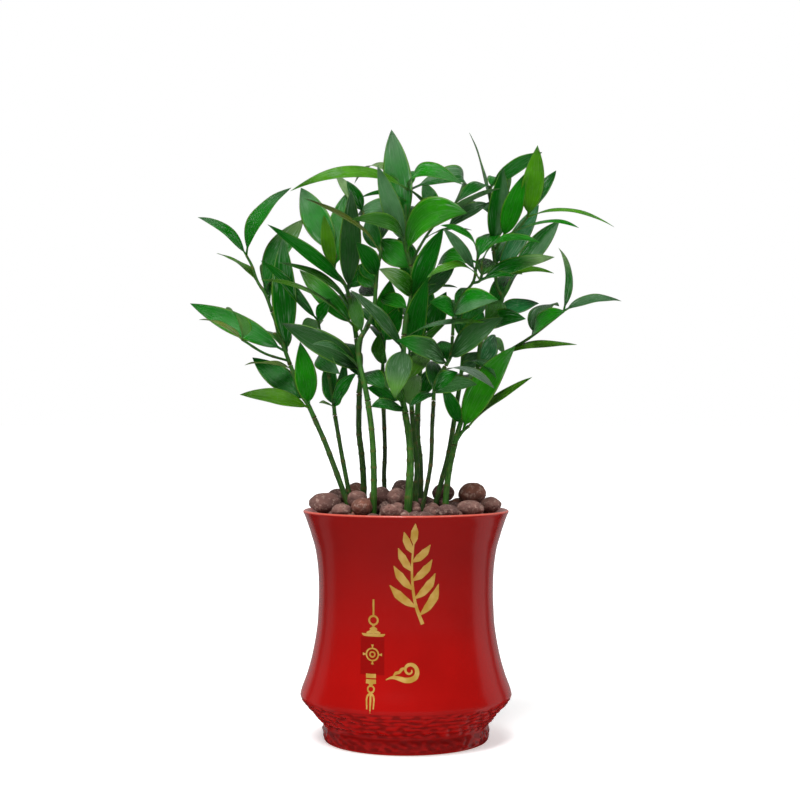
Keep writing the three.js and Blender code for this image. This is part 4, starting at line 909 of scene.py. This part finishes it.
def makePebbles():
    clay = makeClay()
    for number, row in enumerate(pebbleRows):
        skin = Skin()
        tone = clayLook["tones"][(number * 3 + 1) % len(clayLook["tones"])]
        cracked = 1.0 if number % 3 == 1 or number in clayLook["cracked"] else 0.25
        addPebble(skin, fineBall, row, number + 1, tone, cracked)
        name = f"clay_pebble_{number + 1:02d}"
        standFor(skin.build(f"fired_pebble_{number + 1:02d}", clay), "fired_clay", name)

    rng = random.Random(11)
    placed = [(row[0], row[1], row[2], (row[3] + row[4] + row[5]) / 6) for row in pebbleRows]
    skin = Skin()
    tries = 0
    count = 0
    while count < clayLook["fillers"] and tries < 14000:
        tries += 1
        size = rng.uniform(clayLook["smallest"], clayLook["largest"]) * (1.0 if tries < 7000 else 0.75)
        angle = rng.uniform(0, 2 * math.pi)
        radius = (60.2 - size * 0.5) * math.sqrt(rng.uniform(0, 1))
        x, y = radius * math.cos(angle), radius * math.sin(angle)
        z = bedHeight(radius) - rng.uniform(-0.5, 4.5)
        if stemNear(x, y, z, size * 0.42):
            continue
        if any(math.dist((x, y, z), spot[:3]) < (size * 0.5 + spot[3]) * 0.86 for spot in placed):
            continue
        placed.append((x, y, z, size * 0.5))
        row = (x, y, z, size * rng.uniform(1, 1.16), size, size * rng.uniform(0.82, 1), rng.uniform(0, 180))
        tone = clayLook["tones"][rng.randrange(len(clayLook["tones"]))]
        addPebble(skin, coarseBall, row, 20 + count, tone, rng.choice((0, 0.3, 1.0)))
        count += 1
    standFor(skin.build("small_pebbles", clay), "fired_clay", "pebble_bed")

    base = Skin()  # dark crumbs between and under the pebbles
    rings, sides = 22, 96
    previous = [base.addPoint((0, 0, 128.2))]
    turns = [2 * math.pi * j / sides for j in range(sides)]
    low = [base.addPoint((56 * math.cos(turn), 56 * math.sin(turn), 128.4)) for turn in turns]
    for j in range(sides):
        base.faces.append((previous[0], low[(j + 1) % sides], low[j]))
    previous = low
    for i in range(rings):
        radius = 59.6 * (1 - i / rings)
        ring = []
        for j in range(sides):
            angle = 2 * math.pi * j / sides
            x, y = radius * math.cos(angle), radius * math.sin(angle)
            lump = 1.6 * noise.noise(Vector((x, y, 3)) / 2.6)
            ring.append(base.addPoint((x, y, bedHeight(radius) - 5.2 + lump)))
        base.bridge(previous, ring)
        previous = ring
    base.bridge(previous, [base.addPoint((0, 0, bedHeight(0) - 5))])
    standFor(base.build("crumb_layer", soil), "fired_clay", "pebble_bed")
    print("pebbles laid:", count, "small,", len(pebbleRows), "proud")


makePebbles()


# ---- stems and twigs
barkLook = {
    "tones": {
        "green": paint(26, 80, 8), "bright": paint(38, 102, 10), "dark": paint(16, 48, 9),
        "twig": paint(34, 104, 16), "brown": paint(86, 62, 32),
    },
    "scar": paint(120, 74, 44),
    "stemSides": 18,
    "twigSides": 12,
    "step": 1.5,
}
stemTones = [
    "green", "green", "green", "bright", "dark", "bright", "green", "green", "dark", "green", "bright",
]


def makeBark():
    made, tree, shader = newMaterial("green bark", {"Roughness": 0.5, "Specular IOR Level": 0.35})
    place = readPlace(tree)
    clouds = addMottle(tree, {"Shade": paint(30, 60, 14), "Scale": 190.0, "Amount": 0.55, "Grain": 1300.0})
    tree.links.new(readTint(tree), clouds.inputs["Color"])
    lines = addNode(tree, "ShaderNodeTexNoise", {"Scale": 1.0, "Detail": 4.0, "Roughness": 0.65})
    stretch = addNode(tree, "ShaderNodeMapping", {"Scale": (5.0, 0.09, 1.0)})
    flat = tree.nodes.new("ShaderNodeCombineXYZ")
    tree.links.new(place[0], flat.inputs[0])
    tree.links.new(place[1], flat.inputs[1])
    tree.links.new(flat.outputs[0], stretch.inputs["Vector"])
    tree.links.new(stretch.outputs[0], lines.inputs["Vector"])
    streak = addMath(tree, "MULTIPLY", addRange(tree, lines.outputs["Fac"], 0.45, 0.7), 0.5)
    streaked = addMix(tree, streak, clouds.outputs["Color"], paint(112, 142, 62))
    tree.links.new(addMix(tree, place[2], streaked, barkLook["scar"]), shader.inputs["Base Color"])
    raised = addMath(tree, "MULTIPLY", lines.outputs["Fac"], 1.5)
    height = addMath(tree, "ADD", raised, clouds.outputs["Height"])
    addBump(tree, shader, height, 0.00025)
    return made


bark = makeBark()


def addTwig(skin, row, sides, tone, seed):
    # a tapering round shoot with slightly swollen, scarred joints
    footRadius, topRadius = row[0], row[1]
    points = [np.array(p, dtype=float) for p in row[2:]]
    length = sum(float(np.linalg.norm(b - a)) for a, b in zip(points, points[1:]))
    steps = max(6, round(length / barkLook["step"]))
    rng = random.Random(seed)
    joints = [0.0]
    place = rng.uniform(9, 15)
    while place < length - 3:
        joints.append(place)
        place += rng.uniform(10, 19)
    joints.append(length)
    rings = []
    for i in range(steps + 1):
        t = i / steps
        centre, along = curvePoint(points, t)
        u = unit(np.cross((0, 1, 0), along))
        v = np.cross(along, u)
        gone = t * length
        swell = max(math.exp(-((gone - joint) / 1.3) ** 2) for joint in joints)
        radius = (footRadius + (topRadius - footRadius) * t) * (1 + 0.13 * swell)
        shade = 0.9 + 0.2 * noise.noise(Vector((seed * 2.3, gone / 14, 0)))
        ring = []
        for j in range(sides):
            angle = 2 * math.pi * j / sides
            ridge = 1 + 0.035 * math.sin(3 * angle + gone / 9 + seed) + 0.02 * math.sin(7 * angle + seed)
            scar = 0.75 * max(0.0, swell - 0.35) * (0.5 + 0.5 * math.sin(angle * 2 + seed + gone))
            p = centre + (u * math.cos(angle) + v * math.sin(angle)) * radius * ridge
            ring.append(skin.addPoint(p, (angle, gone, scar), tuple(c * shade for c in tone)))
        rings.append(ring)
    for a, b in zip(rings, rings[1:]):
        skin.bridge(a, b)
    skin.cap(rings[0], True)
    centre, along = curvePoint(points, 1)
    skin.bridge(rings[-1], [skin.addPoint(centre + along * topRadius * 0.5, (0, length, 0.4), tone)])


for number, row in enumerate(stemRows):
    stemSkin = Skin()
    addTwig(stemSkin, row, barkLook["stemSides"], barkLook["tones"][stemTones[number]], number + 1)
    stemName = f"stem_{number + 1:02d}"
    standFor(stemSkin.build(f"green_stem_{number + 1:02d}", bark), "green_stem", stemName)
print("stems grown:", len(stemRows))


# ---- leaves
leafLook = {
    "petioleShare": 0.07, "petioleRadius": 0.75, "cup": 0.16, "thickness": 0.42,
    "stations": 30, "columns": 11, "veins": 21,
    "edge": paint(130, 190, 60),
    "vein": paint(58, 168, 24),
    # painted highlight: the whitish glint colour laid in streaks on the blades
    "paintedSheen": paint(156, 188, 158),
    "underside": paint(96, 140, 72),
}
# darkGrey, grey, greyMauve and pale are green leaf tones with a painted reflection of the white surroundings
# mixed in, on a whole leaf, its tip or one half
leafTones = {
    "deep": paint(2, 66, 4), "dark": paint(3, 100, 8), "darkGrey": paint(50, 92, 48),
    "midDark": paint(4, 116, 8), "mid": paint(4, 122, 5), "bright": paint(24, 136, 3),
    "vivid": paint(42, 142, 5), "lime": paint(84, 162, 14), "olive": paint(78, 140, 14),
    "oliveDark": paint(46, 108, 16), "tan": paint(126, 140, 52), "pale": paint(134, 172, 104),
    "grey": paint(86, 136, 88), "greyMauve": paint(106, 124, 108), "bluish": paint(24, 112, 52),
}


def makeLeafSurface():
    made, tree, shader = newMaterial("nagi leaf", {
        "Roughness": 0.24, "Specular IOR Level": 0.48})
    place = readPlace(tree)
    clouds = addMottle(tree, {"Shade": paint(2, 74, 4), "Scale": 75.0, "Amount": 0.4, "Grain": 1400.0})
    tree.links.new(readTint(tree), clouds.inputs["Color"])
    across = addMath(tree, "ABSOLUTE", place[0])
    wobble = addNode(tree, "ShaderNodeTexNoise", {"Scale": 60.0, "Detail": 2.0})
    spot = addNode(tree, "ShaderNodeTexCoord")
    tree.links.new(spot.outputs["Object"], wobble.inputs["Vector"])
    drift = addMath(tree, "MULTIPLY", wobble.outputs["Fac"], 1.3)
    phase = addMath(tree, "ADD", addMath(tree, "MULTIPLY", place[0], leafLook["veins"] * math.pi), drift)
    vein = addRange(tree, addMath(tree, "SINE", phase), 0.2, 1.0)
    veined = addMix(tree, addMath(tree, "MULTIPLY", vein, 0.2), clouds.outputs["Color"], leafLook["vein"])
    edge = addMath(tree, "MULTIPLY", addRange(tree, across, 0.84, 0.98), 0.75)
    edged = addMix(tree, edge, veined, leafLook["edge"])
    stretch = addNode(tree, "ShaderNodeCombineXYZ")  # painted highlight: whitish glint streaks along the blade
    tree.links.new(addMath(tree, "MULTIPLY", place[0], 9.0), stretch.inputs[0])
    tree.links.new(addMath(tree, "MULTIPLY", place[1], 2.2), stretch.inputs[1])
    tree.links.new(addMath(tree, "MULTIPLY", wobble.outputs["Fac"], 2.0), stretch.inputs[2])
    brushed = addNode(tree, "ShaderNodeTexNoise", {"Scale": 1.6, "Detail": 4.0})
    tree.links.new(stretch.outputs[0], brushed.inputs["Vector"])
    patch = addNode(tree, "ShaderNodeTexNoise", {"Scale": 34.0, "Detail": 1.0})
    tree.links.new(spot.outputs["Object"], patch.inputs["Vector"])
    streak = addMath(tree, "MULTIPLY", addRange(tree, brushed.outputs["Fac"], 0.52, 0.66),
                     addRange(tree, patch.outputs["Fac"], 0.5, 0.62))
    edged = addMix(tree, addMath(tree, "MULTIPLY", streak, 0.6), edged, leafLook["paintedSheen"])
    under = addMath(tree, "MULTIPLY", addRange(tree, place[2], 0.6, 0.95), 0.45)
    tree.links.new(addMix(tree, under, edged, leafLook["underside"]), shader.inputs["Base Color"])
    gloss = addRange(tree, brushed.outputs["Fac"], 0.4, 0.6, 0.09, 0.36)
    dull = addMath(tree, "ADD", gloss, addMath(tree, "MULTIPLY", addRange(tree, place[2], 0.6, 0.95), 0.2))
    tree.links.new(dull, shader.inputs["Roughness"])
    height = addMath(tree, "ADD", addMath(tree, "MULTIPLY", vein, 0.8), clouds.outputs["Height"])
    addBump(tree, shader, height, 0.0005)
    return made


def leafTint(toneWord, along, across):
    # one tone, or foot>tip, or left/right of the middle line
    if ">" in toneWord:
        first, second = (np.array(leafTones[w]) for w in toneWord.split(">"))
        return first + (second - first) * smooth(0.45, 0.95, along)
    if "/" in toneWord:
        first, second = (np.array(leafTones[w]) for w in toneWord.split("/"))
        return first + (second - first) * smooth(-0.12, 0.12, across)
    return np.array(leafTones[toneWord])


def addLeaf(skin, row, seed):
    foot, tip = np.array(row[0:3], dtype=float), np.array(row[3:6], dtype=float)
    width, arch, bow = row[6:9]
    toneWord = row[12]
    rng = random.Random(seed * 7 + 3)
    chord = tip - foot
    length = float(np.linalg.norm(chord))
    forward = chord / length
    up = np.array(row[9:12], dtype=float)
    up = unit(up - forward * up.dot(forward))
    across = np.cross(forward, up)
    rearward = smooth(8, 45, tip[1])
    twist = math.radians(rng.uniform(-16, 16)) * (1 + 2.4 * rearward)  # rear leaves turn more freely
    fold = rng.uniform(0.6, 1.5)
    sway = rng.uniform(-0.014, 0.014) * length
    waveSize = rng.uniform(0.15, 0.55)
    waveCount = rng.uniform(9, 15)
    phase = rng.uniform(0, 6)
    lightness = rng.uniform(0.9, 1.12)
    stations, columns = leafLook["stations"], leafLook["columns"]
    stalk = leafLook["petioleShare"]
    rings = []
    for i in range(stations + 1):
        s = (i / stations) ** 0.92 * 0.985
        lift, slope = 4 * s * (1 - s), 4 - 8 * s
        bend = sway * math.sin(2 * math.pi * s)
        bendSlope = sway * 2 * math.pi * math.cos(2 * math.pi * s)
        centre = foot + chord * s + up * (arch * lift + bend) + across * (bow * lift)
        along = unit(chord + up * (arch * slope + bendSlope) + across * (bow * slope))
        side = unit(np.cross(along, up))
        normal = np.cross(side, along)
        turn = twist * (s - 0.45) * smooth(0.0, 0.3, s)
        cosTurn, sinTurn = math.cos(turn), math.sin(turn)
        side, normal = side * cosTurn + normal * sinTurn, normal * cosTurn - side * sinTurn
        u = max(0.0, (s - stalk) / (1 - stalk))
        blade = width / 2 * (u ** 0.75) * (1 - u) / 0.3027
        half = max(leafLook["petioleRadius"] * (1 - smooth(0.8, 1, s)), blade)
        body = float(smooth(0.02, 0.14, s))
        thick = 1.3 * (1 - body) + leafLook["thickness"] * body * (1 - 0.5 * s)
        ring = []
        for layer in (1, -1):
            spread = range(columns) if layer == 1 else range(columns - 2, 0, -1)
            for j in spread:
                v = -1 + 2 * j / (columns - 1)
                edgeThin = math.sqrt(max(0.0, 1 - v * v)) if body < 0.5 else (1 - 0.75 * v ** 4)
                cupped = leafLook["cup"] * fold * half * abs(v) ** 1.35 * body
                ripple = math.sin(waveCount * s + phase + (1.7 if v > 0 else 0))
                wave = waveSize * ripple * abs(v) ** 2.5 * body * lift
                ribs = 0.05 * math.cos(v * 6 * math.pi) * body * lift
                height = cupped + wave + ribs + layer * thick / 2 * edgeThin
                tint = leafTint(toneWord, u, v) * lightness
                under = 0.5 if abs(v) > 0.999 else (0.0 if layer == 1 else 1.0)
                ring.append(skin.addPoint(centre + side * half * v + normal * height, (v, u, under), tint))
        rings.append(ring)
    for a, b in zip(rings, rings[1:]):
        skin.bridge(a, b)
    skin.cap(rings[0], True)
    end = skin.addPoint(tip, (0, 1, 0), leafTint(toneWord, 1, 0) * lightness)
    skin.bridge(rings[-1], [end])


leafSurface = makeLeafSurface()
leafCount = 0
for number, (key, (twigs, leaves)) in enumerate(sprayRows.items()):
    node = f"leaf_spray_{key}"
    twigSkin = Skin()
    for order, row in enumerate(twigs):
        addTwig(twigSkin, row, barkLook["twigSides"], barkLook["tones"]["twig"], 40 + number * 3 + order)
    standFor(twigSkin.build(f"twigs_{key}", bark), "green_stem", node)
    leafSkin = Skin()
    for row in leaves:
        leafCount += 1
        addLeaf(leafSkin, row, leafCount)
    standFor(leafSkin.build(f"leaves_{key}", leafSurface), "leaf", node)
print("leaves opened:", leafCount)


# ---- floor, light and camera
studio = {
    "floor": (0.95, 0.95, 0.95), "floorShade": (0.93, 0.93, 0.93), "floorSize": 30000,
    "seenSky": 1.0, "fillSky": 0.3, "glossSky": 0.02, "floorGlow": 0.42,
    "sunPower": 2.55, "sunSpread": 26, "sunFrom": (-0.3, -0.8, 1.5),
    "eye": (0.0, -0.99, 0.205), "lens": 69.9, "lift": 0.6, "turn": 0.22,
    "boxes": {  # place, aimed at, width, height, power
        "right box": ((0.98, 0.36, 0.1), (0, 0, 0.1), 0.55, 2.6, 1.7),
        "left box": ((-0.98, 0.44, 0.1), (0, 0, 0.1), 0.35, 2.6, 0.5),
        "high box": ((0.25, -0.4, 1.5), (0, 0, 0.25), 0.24, 0.24, 2.6),
        "high left box": ((-0.62, -0.34, 1.3), (0, 0, 0.25), 0.14, 0.36, 1.7),
        "high right box": ((0.74, -0.3, 1.3), (0, 0, 0.25), 0.14, 0.36, 1.7),
        "back box": ((0, 1.5, 0.4), (0, 0, 0.2), 3.0, 1.6, 5.0),
    },
}


def makeFloor():
    made, tree, shader = newMaterial("pale floor", {
        "Roughness": 0.9, "Specular IOR Level": 0.1,
        "Emission Color": (1, 1, 1), "Emission Strength": studio["floorGlow"]})
    clouds = addMottle(tree, {"Color": studio["floor"], "Shade": studio["floorShade"], "Scale": 3.0,
                              "Amount": 0.3})
    tree.links.new(clouds.outputs["Color"], shader.inputs["Base Color"])
    skin = Skin()
    reach = studio["floorSize"]
    corners = [skin.addPoint((x, y, -0.05)) for x, y in ((-reach, -reach), (reach, -reach), (reach, reach),
                                                         (-reach, reach))]
    skin.faces.append(tuple(corners))
    floor = skin.build("studio_floor", made)
    floor.visible_glossy = False


def addLamp(name, place, target, width, height, power):
    data = bpy.data.lights.new(name, "AREA")
    data.shape = "RECTANGLE"
    data.size, data.size_y, data.energy = width, height, power
    lamp = bpy.data.objects.new(name, data)
    lamp.location = place
    lamp.rotation_euler = (Vector(target) - Vector(place)).to_track_quat("-Z", "Y").to_euler()
    lamp.visible_camera = False
    bpy.context.scene.collection.objects.link(lamp)


def addSky():  # white where it is seen, softer as a light, and dim in the gloss
    world = bpy.data.worlds.new("white studio")
    world.use_nodes = True
    tree = world.node_tree
    tree.nodes.remove(tree.nodes["Background"])
    rays = tree.nodes.new("ShaderNodeLightPath")
    skies = {}
    for use in ("fillSky", "glossSky", "seenSky"):
        skies[use] = addNode(tree, "ShaderNodeBackground", {"Color": (1, 1, 1, 1), "Strength": studio[use]})
    glossy = tree.nodes.new("ShaderNodeMixShader")
    tree.links.new(rays.outputs["Is Glossy Ray"], glossy.inputs[0])
    tree.links.new(skies["fillSky"].outputs[0], glossy.inputs[1])
    tree.links.new(skies["glossSky"].outputs[0], glossy.inputs[2])
    seen = tree.nodes.new("ShaderNodeMixShader")
    tree.links.new(rays.outputs["Is Camera Ray"], seen.inputs[0])
    tree.links.new(glossy.outputs[0], seen.inputs[1])
    tree.links.new(skies["seenSky"].outputs[0], seen.inputs[2])
    tree.links.new(seen.outputs[0], tree.nodes["World Output"].inputs["Surface"])
    bpy.context.scene.world = world


makeFloor()
addSky()
for boxName, settings in studio["boxes"].items():
    addLamp(boxName, *settings)
sunData = bpy.data.lights.new("soft sun", "SUN")
sunData.energy = studio["sunPower"]
sunData.angle = math.radians(studio["sunSpread"])
sun = bpy.data.objects.new("soft sun", sunData)
sun.rotation_euler = (-Vector(studio["sunFrom"])).to_track_quat("-Z", "Y").to_euler()
bpy.context.scene.collection.objects.link(sun)
bpy.context.scene.view_settings.view_transform = "Standard"

lensData = bpy.data.cameras.new("front camera")
lensData.lens = studio["lens"]
lensData.sensor_width = 36
lensData.clip_start = 0.05
lensData.clip_end = 60
camera = bpy.data.objects.new("front camera", lensData)
camera.location = studio["eye"]
camera.rotation_euler = (math.radians(90 + studio["lift"]), 0, math.radians(studio["turn"]))
bpy.context.scene.collection.objects.link(camera)
bpy.context.scene.camera = camera

print("scene ready")
